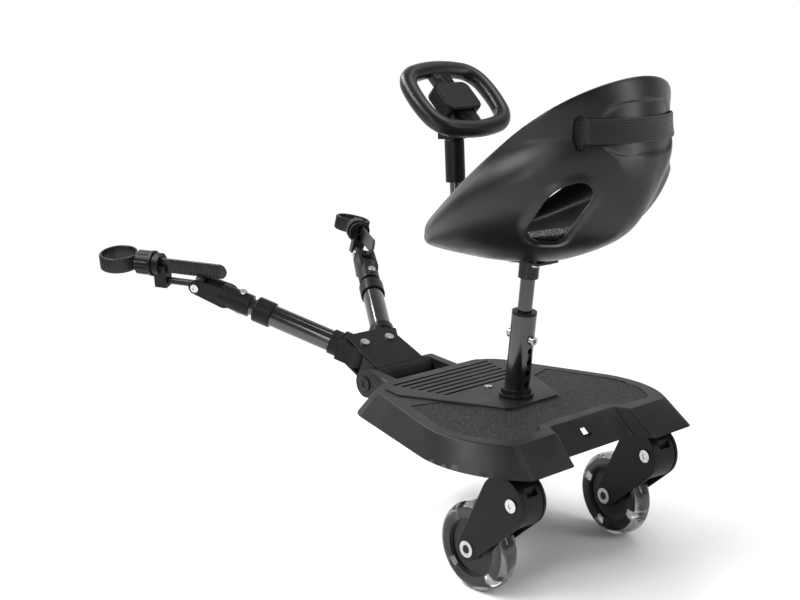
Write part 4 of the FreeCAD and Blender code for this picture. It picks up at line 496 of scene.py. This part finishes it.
def rounded_line(legs, bends):
    """Joins polylines end to end, each corner rounded off over its bend."""
    starts = [0.0] + [after for _, after in bends]
    ends = [before for before, _ in bends] + [0.0]
    runs = [even_points(*row) for row in zip(legs, starts, ends, LEG_ROWS)]
    out = [runs[0]]
    for before, leg, after, steps in zip(runs, legs, runs[1:], BEND_STEPS):
        f = np.arange(1, steps)[:, None] / steps
        out.append((1 - f) ** 2 * before[-1] + 2 * f * (1 - f) * leg[-1] + f ** 2 * after[0])
        out.append(after)
    return np.concatenate(out)


def step_up(share):
    """A smooth step from 0 to 1."""
    share = np.clip(share, 0, 1)
    return share * share * (3 - 2 * share)


def between(values, limits):
    """A smooth step of values from the first limit to the second."""
    return step_up((values - limits[0]) / (limits[1] - limits[0]))


def seat_rings(inset, floor, wall, lift, bends, top=SEAT_TOP, bead=0.0, roll=0.0):
    """Closed shell: outside floor, outside wall, lip, inside wall, inside floor.
    The bead thickens the lip; along the flanks the roll swells the wall and draws the lip inward."""
    heights = np.linspace(0, top, WALL_ROWS)
    outside = splined(fan(inset, floor), heights)
    inside = splined(fan(inset + wall, floor + lift), heights)
    outside[..., 2] = np.maximum(outside[..., 2], floor)
    inside[..., 2] = np.maximum(inside[..., 2], floor + lift)
    share = np.linspace(0, 1, WALL_ROWS)[:, None, None]
    inward = (inside - outside) / np.maximum(np.linalg.norm(inside - outside, axis=2, keepdims=True), TINY)
    lip_x = outside[-1, :, 0]
    flank = (between(lip_x, ROLL_FROM_BACK) * between(lip_x, ROLL_FROM_NOSE))[None, :, None]
    rise = np.clip((share - LIP_START) / (1 - LIP_START), 0, 1)
    belly = np.sin(math.pi * np.clip((share - BELLY_START) / BELLY_SPAN, 0, 1))
    drawn = inward * (rise ** LIP_POWER - BELLY_SHARE * belly) * roll * flank
    inside = inside + inward * share ** BEAD_POWER * bead + drawn
    outside = outside + drawn
    under = np.array([PAN_MIDDLE, 0.0, floor])
    over = np.array([PAN_MIDDLE, 0.0, floor + lift])
    outward = np.linspace(PAN_HUB, 1, PAN_ROWS)[:, None]
    across = np.linspace(0, 1, LIP_ROWS)[:, None]
    lines = []
    for outer, inner in zip(outside.swapaxes(0, 1), inside.swapaxes(0, 1)):
        outer_pan = under + (outer[0] - under) * outward
        inner_pan = over + (inner[0] - over) * outward[::-1]
        lip = outer[-1] + (inner[-1] - outer[-1]) * across
        lines.append(rounded_line([outer_pan, outer, lip, inner[::-1], inner_pan], bends))
    return np.stack(lines)


def outline_points(corners):
    """A closed outline with each corner rounded."""
    spots = [Vector(c[:2]) for c in corners]
    out = []
    for i, (_, _, radius) in enumerate(corners):
        back = (spots[i - 1] - spots[i]).normalized()
        ahead = (spots[(i + 1) % len(spots)] - spots[i]).normalized()
        half = back.angle(ahead) / 2
        a = spots[i] + back * radius / math.tan(half)
        centre = spots[i] + (back + ahead).normalized() * radius / math.sin(half)
        turn = (spots[i] + ahead * radius / math.tan(half) - centre).angle_signed(a - centre)
        for k in range(CORNER_STEPS + 1):
            out.append(tuple(centre + Matrix.Rotation(turn * k / CORNER_STEPS, 2) @ (a - centre)))
    return np.array(out)


def distance_to(outline, spots):
    """Signed distance of points from a closed outline, negative inside."""
    a = outline
    b = np.roll(outline, -1, 0)
    side = b - a
    rel = spots[:, None] - a[None]
    f = np.clip((rel * side).sum(2) / np.maximum((side * side).sum(1), TINY), 0, 1)
    near = np.linalg.norm(rel - f[..., None] * side, axis=2).min(1)
    x, y = spots[:, None, 0], spots[:, None, 1]
    slope = side[:, 0] / np.where(side[:, 1] == 0, TINY, side[:, 1])
    crossing = ((a[:, 1] > y) != (b[:, 1] > y)) & (x < slope * (y - a[:, 1]) + a[:, 0])
    return np.where(crossing.sum(1) % 2 == 1, -near, near)


hole_outline = outline_points(HOLE_CORNERS)
slot_outline = outline_points(SLOT_CORNERS)
panel_outline = outline_points(PANEL_CORNERS)


def hole_distance(spots):
    """How far points are from the oval opening on their side of the seat, in the plane it is drawn in."""
    x = spots[:, 0] - HOLE_ORIGIN[0]
    y = np.abs(spots[:, 1]) - HOLE_ORIGIN[1]
    flat = x * math.cos(HOLE_TURN) + y * math.sin(HOLE_TURN)
    far = distance_to(hole_outline, np.stack([flat, spots[:, 2]], 1))
    return np.where(spots[:, 0] < OPENINGS_BEHIND, far, FAR_OFF)


def slot_distance(spots):
    """How far points are from the belt slot on their side of the back."""
    far = distance_to(slot_outline, np.stack([np.abs(spots[:, 1]), spots[:, 2]], 1))
    return np.where(spots[:, 0] < BACK_BEHIND, far, FAR_OFF)


def shaped(spots, out_way, outer):
    """Presses in the borders of the openings and lifts the panel on the back."""
    hole = step_up(1 - hole_distance(spots) / BORDER_WIDTH) * BORDER_DEPTH
    rear = np.where(spots[:, 0] < BACK_BEHIND, 1.0, 0.0)
    panel = step_up(-distance_to(panel_outline, spots[:, 1:]) / PANEL_EDGE) * PANEL_RISE * rear * outer
    return spots + out_way * (panel - hole)[:, None]


def cut_through(form, measure):
    """Cuts the shell where the measure is negative and joins its outside and inside edges by a wall."""
    places = np.array([v.co for v in form.verts]) / MM - np.array(SEAT_PLACE)
    value = dict(zip(form.verts, measure(places)))

    def crossed():
        """Edges that cross the cut, each with the share of its length before the cut."""
        for edge in list(form.edges):
            a, b = edge.verts
            if value[a] * value[b] < 0:
                yield edge, a, b, value[a] / (value[a] - value[b])

    for _, a, b, share in crossed():
        if share < SNAP_SHARE:
            value[a] = 0.0
        elif share > 1 - SNAP_SHARE:
            value[b] = 0.0
    for edge, a, b, share in crossed():
        value[bmesh.utils.edge_split(edge, a, share)[1]] = 0.0
    span = {face: [value[v] for v in face.verts] for face in form.faces}
    for face in [f for f, found in span.items() if min(found) < 0 < max(found)]:
        rim = [v for v in face.verts if value[v] == 0.0]
        if len(rim) == 2:
            bmesh.utils.face_split(face, rim[0], rim[1])
    span = {face: [value[v] for v in face.verts] for face in form.faces}
    gone = [f for f, found in span.items() if min(found) < 0 and max(found) <= 0]
    bmesh.ops.delete(form, geom=gone, context="FACES")
    for way in (1, -1):
        bare = [e for e in form.edges if e.is_boundary and e.verts[0].co.y * way > 0]
        bmesh.ops.bridge_loops(form, edges=bare)


def seat_piece(name, lines, material, cut):
    """A piece from the lines of its closed shell; where it is cut, with the openings, borders and panel."""
    count, deep = lines.shape[:2]
    form = bmesh.new()
    spots = lines.reshape(-1, 3)
    if cut:
        around = np.roll(lines, -1, 0) - np.roll(lines, 1, 0)
        out_way = np.cross(np.gradient(lines, axis=1), around)
        out_way /= np.maximum(np.linalg.norm(out_way, axis=2, keepdims=True), TINY)
        outer = np.tile((np.arange(deep) < deep // 2).astype(float), count)
        sign = np.where(outer > 0.5, 1.0, -1.0)[:, None]
        spots = shaped(spots, out_way.reshape(-1, 3) * sign, outer)
    points = [form.verts.new((Vector(spot) + SEAT_PLACE) * MM) for spot in spots]
    rows = [points[i * deep:(i + 1) * deep] for i in range(count)]
    for row, after in zip(rows, rows[1:] + rows[:1]):
        for j in range(deep - 1):
            form.faces.new((row[j], row[j + 1], after[j + 1], after[j]))
    form.faces.new([row[0] for row in rows[::-1]])
    form.faces.new([row[-1] for row in rows])
    form.normal_update()
    if cut:
        cut_through(form, hole_distance)
        cut_through(form, slot_distance)
    bmesh.ops.recalc_face_normals(form, faces=form.faces)
    return in_scene(name, smooth_mesh(form, name, material, SEAT_EDGE_ANGLE))


# soft black with a satin sheen that spreads the lamps into long, quiet highlights
seat_skin = moulded("polypropylene_seat_matt", "0c0c0d", "151516", rough=0.36, grain_mm=1.3,
                    grain_depth_mm=0.05, specular=0.42)
seat_lines = seat_rings(0.0, 0.0, SEAT_WALL, SEAT_FLOOR, SEAT_BENDS, bead=LIP_BEAD, roll=FLANK_ROLL)
seat = seat_piece("seat_bucket", seat_lines, seat_skin, cut=True)
stand_for(seat, "seat_shell")

# Seat pad: a thin liner of speckled foam, cut to the pan and glued to it.
# It is soft to the touch and follows the pan's bend a little way up the wall.
LINER_GAP = 0.6
LINER_THICKNESS = 2.0
LINER_TOP_ANGLE = 12.5
LINER_BENDS = ((14.0, 14.0), (0.9, 0.9), (0.9, 0.9), (14.0, 14.0))
# dark grey crumbed with pale grey, with no shine, so the inside of the bucket looks soft
liner_skin = speckled("foam_speckled", "242425", "8e8e8c", cell_mm=1.5, limit=0.36, rough=0.8, depth_mm=0.4)
liner_lines = seat_rings(SEAT_WALL + LINER_GAP, SEAT_FLOOR + LINER_GAP, LINER_THICKNESS, LINER_THICKNESS,
                         LINER_BENDS, top=LINER_TOP_ANGLE / SEAT_SECTIONS[1][0])
liner = seat_piece("seat_liner", liner_lines, liner_skin, cut=False)
stand_for(liner, "seat_pad")

# Belt: black polypropylene webbing, woven flat on a narrow loom, stretched across the back of the seat.
# It turns in through the two slots, and inside each end is folded flat into a stop taller than its slot.
BELT_LOW = 144.0
BELT_HEIGHT = 25.0
BELT_THICKNESS = 1.4
BELT_SELVEDGE = 0.15
SELVEDGE_POWER = 10
BELT_LIFT = 0.3
# across the back: where the belt turns in, where it has dived through the slot, and where it ends
BELT_TURN = 64.0
BELT_HALF = 73.0
BELT_END = 82.0
BELT_DIVE = 8.5
# the stop reaches this far below and above the band, and widens between these places across the back
BELT_STOP = (14.0, 9.0)
STOP_START = (69.0, 72.0)
TURN_COLUMNS = 26
BACK_COLUMNS = 70
BELT_ROWS = 13
BELT_EDGE_ANGLE = math.radians(50)
BEHIND_SEAT = -400.0
# rib and thread spacing, drawn coarser than the real 1.5 mm and 0.5 mm so that they show
WEB_RIB_MM = 2.2
WEB_THREAD_MM = 2.83
WEB_DEPTH_MM = 0.3
# share of its size at which a wave texture repeats
WAVE_REPEAT = math.pi / 10
# dull black with a fine ribbed weave and a faint sheen along the threads
web_skin, tree = bare_material("webbing_polypropylene")
weave = add(tree, "ShaderNodeUVMap", uv_map="weave").outputs[0]
ribs = add(tree, "ShaderNodeTexWave", {
    "Vector": weave, "Scale": WAVE_REPEAT / (WEB_RIB_MM * MM), "Distortion": 0.4},
    wave_type="BANDS", bands_direction="X")
threads = add(tree, "ShaderNodeTexWave", {
    "Vector": weave, "Scale": WAVE_REPEAT / (WEB_THREAD_MM * MM), "Distortion": 0.6},
    wave_type="BANDS", bands_direction="Y")
height = add(tree, "ShaderNodeMath", {0: ribs.outputs["Fac"], 1: threads.outputs["Fac"]},
             operation="MULTIPLY")
tone = add(tree, "ShaderNodeMix", {0: height.outputs[0], 6: colour("09090a"), 7: colour("1a1a1b")},
           data_type="RGBA")
gloss = add(tree, "ShaderNodeMapRange", {"Value": height.outputs[0], "To Min": 0.75, "To Max": 0.55})
bump = add(tree, "ShaderNodeBump", {
    "Height": height.outputs[0], "Strength": 0.8, "Distance": WEB_DEPTH_MM * MM})
cloth = add(tree, "ShaderNodeBsdfPrincipled", {
    "Base Color": tone.outputs[2], "Roughness": gloss.outputs[0], "Normal": bump.outputs[0],
    "Sheen Weight": 0.2, "Specular IOR Level": 0.3})
add(tree, "ShaderNodeOutputMaterial", {"Surface": cloth.outputs[0]})
whole = seat_piece("seat_whole", seat_lines, seat_skin, cut=False)
seat_back = BVHTree.FromObject(whole, bpy.context.evaluated_depsgraph_get())
bpy.data.objects.remove(whole)
across = np.concatenate([np.linspace(-BELT_END, -BELT_TURN, TURN_COLUMNS),
                         np.linspace(-BELT_TURN, BELT_TURN, BACK_COLUMNS)[1:-1],
                         np.linspace(BELT_TURN, BELT_END, TURN_COLUMNS)])
upright = np.linspace(0, 1, BELT_ROWS)


def belt_column(y):
    """Outer and inner points up the belt at one place across the back, laid on the seat."""
    dive = float(between(abs(y), (BELT_TURN, BELT_HALF))) * BELT_DIVE
    widened = float(between(abs(y), STOP_START))
    outer, inner = [], []
    for share in upright:
        stop = widened * (BELT_STOP[1] * share - BELT_STOP[0] * (1 - share))
        start = (Vector((BEHIND_SEAT, y, BELT_LOW + BELT_HEIGHT * share + stop)) + SEAT_PLACE) * MM
        spot, normal, _, _ = seat_back.ray_cast(start, Vector((1, 0, 0)))
        normal = Vector((normal.x, normal.y, 0)).normalized()
        thick = BELT_THICKNESS * (1 - abs(2 * share - 1) ** SELVEDGE_POWER) + BELT_SELVEDGE
        inner.append(spot + normal * (BELT_LIFT + PANEL_RISE - dive) * MM)
        outer.append(inner[-1] + normal * thick * MM)
    return outer, inner


columns = [belt_column(y) for y in across]
form = bmesh.new()
uv = form.loops.layers.uv.new("weave")
outer, inner = ([[form.verts.new(spot) for spot in column[k]] for column in columns] for k in (0, 1))
weave_place = {}
for grid in (outer, inner):
    for y, column in zip(across, grid):
        for share, vert in zip(upright, column):
            weave_place[vert] = (y * MM, share * BELT_HEIGHT * MM)
last = len(upright) - 1
end = len(across) - 1
for i in range(end):
    for j in range(last):
        for grid in (outer, inner):
            form.faces.new((grid[i][j], grid[i + 1][j], grid[i + 1][j + 1], grid[i][j + 1]))
    for j in (0, last):
        form.faces.new((outer[i][j], outer[i + 1][j], inner[i + 1][j], inner[i][j]))
for j in range(last):
    for i in (0, end):
        form.faces.new((outer[i][j], outer[i][j + 1], inner[i][j + 1], inner[i][j]))
bmesh.ops.recalc_face_normals(form, faces=form.faces)
for face in form.faces:
    for loop in face.loops:
        loop[uv].uv = weave_place[loop.vert]
belt = in_scene("back_belt", smooth_mesh(form, "back_belt", web_skin, BELT_EDGE_ANGLE))
stand_for(belt, "seat_belt")

# Steering: a moulded foot on the pan carries a black tube in a fat sleeve; the head on top holds a bolt that
# the wheel turns on. The rim is foamed rubber over a core, clamped between the two shells of the hub.
# satin black, smoother than the plastics, with a soft line of light along the tube of the rim
rim_skin = moulded("rubber_rim_satin", "0e0e0f", "181819", rough=0.34, grain_mm=1.4, grain_depth_mm=0.02,
                   specular=0.35)
refined("column_foot", [nylon, nylon_edge_highlight], edge_mm=0.8)
refined("column_post", [enamel], edge_mm=0.3)
refined("column_sleeve", [nylon, nylon_edge_highlight], edge_mm=0.4)
refined("column_head", [nylon, nylon_edge_highlight], edge_mm=0.6)
refined("steering_wheel", [rim_skin], edge_mm=0.0)
refined("hub_back", [nylon, nylon_edge_highlight], edge_mm=0.4)
refined("hub_cover", [nylon, nylon_edge_highlight], edge_mm=0.4)
refined("wheel_bolt", [zinc], edge_mm=0.3)

# Hitch bracket: a nylon moulding with a barrel on the hinge pin and a floor that takes the arm sockets.
# A cover plate closes it, held by the two screws that the arms turn on.
refined("bracket_base", [nylon, nylon_edge_highlight], edge_mm=0.5)
refined("bracket_cover", [nylon, nylon_edge_highlight], edge_mm=0.4)
refined("arm_pivot_screws", [zinc], edge_mm=0.3)

# Arms: a moulded socket, an enamelled outer tube with a collar, an inner tube that slides in it, and a
# moulded fork with its screws; a short steel link carries the strap holder and its knurled lock ring.
for side in ("left", "right"):
    refined(side + "_arm_socket", [nylon, nylon_edge_highlight], edge_mm=0.6)
    refined(side + "_arm_tube", [enamel], edge_mm=0.3)
    refined(side + "_arm_collar", [nylon, nylon_edge_highlight], edge_mm=0.4)
    refined(side + "_inner_tube", [enamel], edge_mm=0.3)
    refined(side + "_fork", [nylon, nylon_edge_highlight], edge_mm=0.5)
    refined(side + "_fork_screws", [zinc], edge_mm=0.3)
    refined(side + "_link", [dark_steel], edge_mm=0.3)
    refined(side + "_strap_holder", [nylon, nylon_edge_highlight], edge_mm=0.4)
    refined(side + "_lock_ring", [nylon, nylon_edge_highlight], edge_mm=0.4)

# Straps: a moulded polyurethane band with cross ribs, looped round the chair's tube and back through the
# holder, where the ring locks it. One band is drawn flat in the plane of its link and mirrored for the right.
STRAP_HEIGHT = 20.0
STRAP_THICKNESS = 3.0
STRAP_MIDDLE = 1.8
STRAP_Z = 22.0
TAIL_END = -42.0
TAIL_TAPER = 4.0
TIP_SHARE = 0.02
FIXED_END = 60.0
LOOP_X = 114.5
LOOP_RADIUS = 23.5
FLARE_RADIUS = 6.0
# points along the tail, each flare, the loop and the fixed run
TAIL_POINTS = 60
FLARE_POINTS = 10
LOOP_POINTS = 72
FIXED_POINTS = 14
# the band's section with soft corners, in half thicknesses and half heights
STRAP_SECTION = [(1, 0.8), (0.85, 0.95), (0.5, 1), (-0.5, 1), (-0.85, 0.95), (-1, 0.8),
                 (-1, -0.8), (-0.85, -0.95), (-0.5, -1), (0.5, -1), (0.85, -0.95), (1, -0.8)]
RIB_PITCH = 3.3
RIB_WIDTH = 1.7
RIB_RISE = 0.9
RIB_LENGTH = 18.4
# a rib's outline in widths and rises, and its sections along the length with the share of the rise
RIB_OUTLINE = [(-0.5, -0.6), (0.5, -0.6), (0.42, 0.55), (0.2, 1.0), (-0.2, 1.0), (-0.42, 0.55)]
RIB_ENDS = ((-0.5, 0.45), (-0.46, 1.0), (0.46, 1.0), (0.5, 0.45))
# the ribs start this far from the tail's tip, stop under the holder and stop on the loop's far side
RIB_INSET = 9.0
RIB_GAP = (40.0, 88.0)
RIB_LAST = 100.0
STRAP_EDGE_ANGLE = math.radians(35)
# the chain of places from the hitch to the strap: fold line, pitch, arm pivot, splay, link and its drop
HITCH_PLACE = Vector((STEMS_X + 305.0, 0.0, 164.0))
HITCH_PITCH = math.radians(-23.2)
PIVOT = (54.2, 20.5)
ARM_SPLAY = math.radians(31.0)
CLEVIS_X = 233.0
LINK_DROP = math.radians(17.7)
# rubbery black with a low gloss; the ribs give it a row of fine light lines
strap_skin = moulded("polyurethane_strap", "0b0b0c", "161617", rough=0.36, grain_mm=1.5, grain_depth_mm=0.04)


def arc(x, y, radius, turns):
    """Points of an arc round a centre."""
    return [(x + radius * math.cos(turn), y + radius * math.sin(turn)) for turn in turns]


def strap_path(offset):
    """Line of the band in its own plane, from the tail round the loop to the fixed end, moved outward."""
    flare_y = STRAP_MIDDLE + FLARE_RADIUS
    span = LOOP_RADIUS + FLARE_RADIUS
    flare_x = LOOP_X - math.sqrt(span * span - flare_y * flare_y)
    meet = math.atan2(flare_y, flare_x - LOOP_X)
    flare = arc(flare_x, flare_y, FLARE_RADIUS - offset,
                np.linspace(-math.pi / 2, meet - math.pi, FLARE_POINTS)[:-1])
    spots = [(x, STRAP_MIDDLE + offset) for x in np.linspace(TAIL_END, flare_x, TAIL_POINTS)[:-1]]
    spots += flare
    spots += arc(LOOP_X, 0.0, LOOP_RADIUS + offset, np.linspace(meet, -meet, LOOP_POINTS))
    spots += [(x, -y) for x, y in flare[::-1]]
    spots += [(x, -STRAP_MIDDLE - offset) for x in np.linspace(flare_x, FIXED_END, FIXED_POINTS)[1:]]
    return np.array(spots)


def capped_rings(form, rings):
    """Joins rings of points into a closed solid."""
    skin_rings(form, rings)
    form.faces.new(rings[0][::-1])
    form.faces.new(rings[-1])


rib_tree = bpy.data.node_groups.new("strap_ribs", "GeometryNodeTree")
for name, kind, way in (("Geometry", "NodeSocketGeometry", "INPUT"), ("Rib", "NodeSocketObject", "INPUT"),
                        ("Pitch", "NodeSocketFloat", "INPUT"), ("Finish", "NodeSocketMaterial", "INPUT"),
                        ("Geometry", "NodeSocketGeometry", "OUTPUT")):
    rib_tree.interface.new_socket(name, in_out=way, socket_type=kind)
given = add(rib_tree, "NodeGroupInput")
dots = add(rib_tree, "GeometryNodeCurveToPoints", {
    "Curve": given.outputs["Geometry"], "Length": given.outputs["Pitch"]}, mode="LENGTH")
turn = add(rib_tree, "FunctionNodeAlignRotationToVector", {"Vector": dots.outputs["Tangent"]},
           axis="X", pivot_axis="Z")
rib_shape = add(rib_tree, "GeometryNodeObjectInfo", {"Object": given.outputs["Rib"]})
placed = add(rib_tree, "GeometryNodeInstanceOnPoints", {
    "Points": dots.outputs["Points"], "Instance": rib_shape.outputs["Geometry"], "Rotation": turn.outputs[0]})
real = add(rib_tree, "GeometryNodeRealizeInstances", {"Geometry": placed.outputs[0]})
dressed = add(rib_tree, "GeometryNodeSetMaterial", {
    "Geometry": real.outputs[0], "Material": given.outputs["Finish"]})
add(rib_tree, "NodeGroupOutput", {0: dressed.outputs[0]})

form = bmesh.new()
capped_rings(form, [[form.verts.new((x * RIB_WIDTH * MM, y * (share if y > 0 else 1.0) * RIB_RISE * MM,
                                     z * RIB_LENGTH * MM)) for x, y in RIB_OUTLINE]
                    for z, share in RIB_ENDS])
bmesh.ops.recalc_face_normals(form, faces=form.faces)
rib_mesh = bpy.data.meshes.new("strap_rib")
form.to_mesh(rib_mesh)
form.free()
rib = in_scene("strap_rib", rib_mesh)
rib_settings = {"Rib": rib, "Pitch": RIB_PITCH * MM, "Finish": strap_skin}


def rib_row():
    """The mesh of all ribs of one strap, set along its outer face by the node tree."""
    curve = bpy.data.curves.new("rib_line", "CURVE")
    curve.dimensions = "3D"
    ribbed = [(x, y) for x, y in strap_path(STRAP_THICKNESS / 2)
              if x > TAIL_END + RIB_INSET and not (y < 0 and x < RIB_LAST)]
    for run in ([p for p in ribbed if p[0] <= RIB_GAP[0]], [p for p in ribbed if p[0] >= RIB_GAP[1]]):
        spline = curve.splines.new("POLY")
        spline.points.add(len(run) - 1)
        for point, (x, y) in zip(spline.points, run):
            point.co = (x * MM, y * MM, 0.0, 1.0)
    rail = in_scene("rib_line", curve)
    modifier = rail.modifiers.new("ribs", "NODES")
    modifier.node_group = rib_tree
    for item in rib_tree.interface.items_tree:
        if item.in_out == "INPUT" and item.name in rib_settings:
            modifier[item.identifier] = rib_settings[item.name]
    bpy.context.view_layer.update()
    row = bpy.data.meshes.new_from_object(rail.evaluated_get(bpy.context.evaluated_depsgraph_get()))
    bpy.data.objects.remove(rail)
    return row


def strap_band(form):
    """The band itself, with a rounded and thinned tip on its tail."""
    line = strap_path(0.0)
    ahead = np.gradient(line, axis=0)
    ahead /= np.linalg.norm(ahead, axis=1, keepdims=True)
    outward = np.stack([-ahead[:, 1], ahead[:, 0]], 1)
    half = STRAP_HEIGHT / 2
    rings = []
    for (x, y), (nx, ny) in zip(line, outward):
        from_tip = max(x - TAIL_END, 0.0) if y > 0 else half
        tall = half * math.sqrt(max(1 - (1 - min(from_tip / half, 1)) ** 2, TIP_SHARE))
        thick = STRAP_THICKNESS / 2 * (0.5 + 0.5 * min(from_tip / TAIL_TAPER, 1.0))
        rings.append([form.verts.new(((x + nx * a * thick) * MM, (y + ny * a * thick) * MM, b * tall * MM))
                      for a, b in STRAP_SECTION])
    capped_rings(form, rings)


for side, hand in (("left", 1), ("right", -1)):
    link = (Matrix.Translation(HITCH_PLACE) @ Matrix.Rotation(HITCH_PITCH, 4, "Y")
            @ Matrix.Translation((PIVOT[0], PIVOT[1] * hand, 0)) @ Matrix.Rotation(ARM_SPLAY * hand, 4, "Z")
            @ Matrix.Translation((CLEVIS_X, 0, 0)) @ Matrix.Rotation(LINK_DROP, 4, "Y")
            @ Matrix.Translation((0, 0, STRAP_Z)))
    mirror = Matrix.Scale(hand, 4, Vector((0, 1, 0)))
    form = bmesh.new()
    strap_band(form)
    form.from_mesh(rib_row())
    form.transform(Matrix.Scale(MM, 4) @ link @ mirror @ Matrix.Scale(1 / MM, 4))
    bmesh.ops.recalc_face_normals(form, faces=form.faces)
    name = side + "_ribbed_strap"
    strap = in_scene(name, smooth_mesh(form, name, strap_skin, STRAP_EDGE_ANGLE))
    stand_for(strap, side + "_strap")
bpy.data.objects.remove(rib)

# Studio: a plain pale paper floor in a white surround, lit by four soft boxes and a little fill.
# The camera stands behind the board and to its left, a little above the seat.
FLOOR_REACH = 12.0
# round the board the floor takes its shadow; between these distances it fades to the white background
FLOOR_FADE = (0.45, 1.3)
floor_mesh = bpy.data.meshes.new("floor")
floor_corners = [(x * FLOOR_REACH, y * FLOOR_REACH, 0) for x, y in ((-1, -1), (1, -1), (1, 1), (-1, 1))]
floor_mesh.from_pydata(floor_corners, [], [(0, 1, 2, 3)])
floor = in_scene("floor", floor_mesh)
# even white with no shine, so that only the board's soft shadow shows on it
paper, tree = bare_material("paper_white_matt")
path = add(tree, "ShaderNodeLightPath")
place = add(tree, "ShaderNodeTexCoord").outputs["Object"]
far = add(tree, "ShaderNodeVectorMath", {0: place}, operation="LENGTH")
fade = add(tree, "ShaderNodeMapRange", {
    "Value": far.outputs["Value"], "From Min": FLOOR_FADE[0], "From Max": FLOOR_FADE[1]},
    interpolation_type="SMOOTHSTEP")
seen = add(tree, "ShaderNodeMath", {0: path.outputs["Is Camera Ray"], 1: path.outputs["Is Glossy Ray"]},
           operation="MAXIMUM")
shown = add(tree, "ShaderNodeMath", {0: seen.outputs[0], 1: path.outputs["Is Transmission Ray"]},
            operation="MAXIMUM")
share = add(tree, "ShaderNodeMath", {0: shown.outputs[0], 1: fade.outputs[0]}, operation="MULTIPLY")
matt = add(tree, "ShaderNodeBsdfDiffuse", {"Color": colour("fafafa")})
glow = add(tree, "ShaderNodeEmission", {"Color": colour("ffffff"), "Strength": 1.0})
mix = add(tree, "ShaderNodeMixShader", {0: share.outputs[0], 1: matt.outputs[0], 2: glow.outputs[0]})
add(tree, "ShaderNodeOutputMaterial", {"Surface": mix.outputs[0]})
floor_mesh.materials.append(paper)

# seen straight or through clear material the surround is white all round; mirrored in a surface it is white
# towards the sweep behind the board and dim in the rest of the room; as a light it only fills
SWEEP_WAY = (0.7, -0.63, -0.3)
SWEEP_EDGE = (0.1, 0.75)
ROOM_LEVEL = 0.22
FILL_LEVEL = 0.32
world = bpy.data.worlds.new("studio")
bpy.context.scene.world = world
world.use_nodes = True
tree = world.node_tree
tree.nodes.clear()
path = add(tree, "ShaderNodeLightPath")
straight = add(tree, "ShaderNodeMath", {
    0: path.outputs["Is Camera Ray"], 1: path.outputs["Is Transmission Ray"]}, operation="MAXIMUM")
way = add(tree, "ShaderNodeTexCoord").outputs["Generated"]
facing = add(tree, "ShaderNodeVectorMath", {0: way, 1: SWEEP_WAY}, operation="DOT_PRODUCT")
sweep = add(tree, "ShaderNodeMapRange", {
    "Value": facing.outputs["Value"], "From Min": SWEEP_EDGE[0], "From Max": SWEEP_EDGE[1],
    "To Min": ROOM_LEVEL, "To Max": 1.0}, interpolation_type="SMOOTHSTEP")
unseen = add(tree, "ShaderNodeMix", {0: path.outputs["Is Glossy Ray"], 2: FILL_LEVEL, 3: sweep.outputs[0]},
             data_type="FLOAT")
level = add(tree, "ShaderNodeMix", {0: straight.outputs[0], 2: unseen.outputs[0], 3: 1.0}, data_type="FLOAT")
surround = add(tree, "ShaderNodeBackground", {"Color": colour("ffffff"), "Strength": level.outputs[0]})
add(tree, "ShaderNodeOutputWorld", {"Surface": surround.outputs[0]})

# the soft boxes: name, place, direction of the long side, length and width in metres, watts
LIT_POINT = Vector((-0.1, 0.0, 0.3))
ACROSS = (0.744, -0.669, 0.0)
UPRIGHT = (0, 0, 1)
SOFT_BOXES = (
    ("key_strip", (0.66, 0.78, 1.35), ACROSS, 2.4, 0.2, 42),
    ("top_box", (-0.5, -0.5, 1.9), (1, 0, 0), 1.0, 1.0, 14),
    ("post_strip", (-0.61, 1.175, 0.6), UPRIGHT, 1.1, 0.14, 3.5),
    ("back_strip", (-1.5, -0.6, 0.8), UPRIGHT, 1.2, 0.4, 8),
)
for name, place, along, length, width, watts in SOFT_BOXES:
    lamp = bpy.data.lights.new(name, "AREA")
    lamp.shape = "RECTANGLE"
    lamp.size = length
    lamp.size_y = width
    lamp.energy = watts
    back = (Vector(place) - LIT_POINT).normalized()
    flat = (Vector(along) - back * back.dot(Vector(along))).normalized()
    holder = in_scene(name, lamp)
    holder.location = place
    holder.rotation_euler = Matrix((flat, back.cross(flat), back)).transposed().to_euler()

SENSOR_WIDTH = 36.0
LENS = 61.2
VIEW_REACH = 50.0
CAMERA_PLACE = (-1.2143, 1.1012, 0.6487)
CAMERA_TILT = math.radians(76.77)
CAMERA_HEADING = math.radians(-131.96)
camera = bpy.data.cameras.new("camera")
camera.sensor_width = SENSOR_WIDTH
camera.lens = LENS
camera.clip_end = VIEW_REACH
holder = in_scene("camera", camera)
holder.location = CAMERA_PLACE
holder.rotation_euler = (CAMERA_TILT, 0.0, CAMERA_HEADING)
bpy.context.scene.camera = holder
bpy.context.scene.view_settings.view_transform = "Standard"
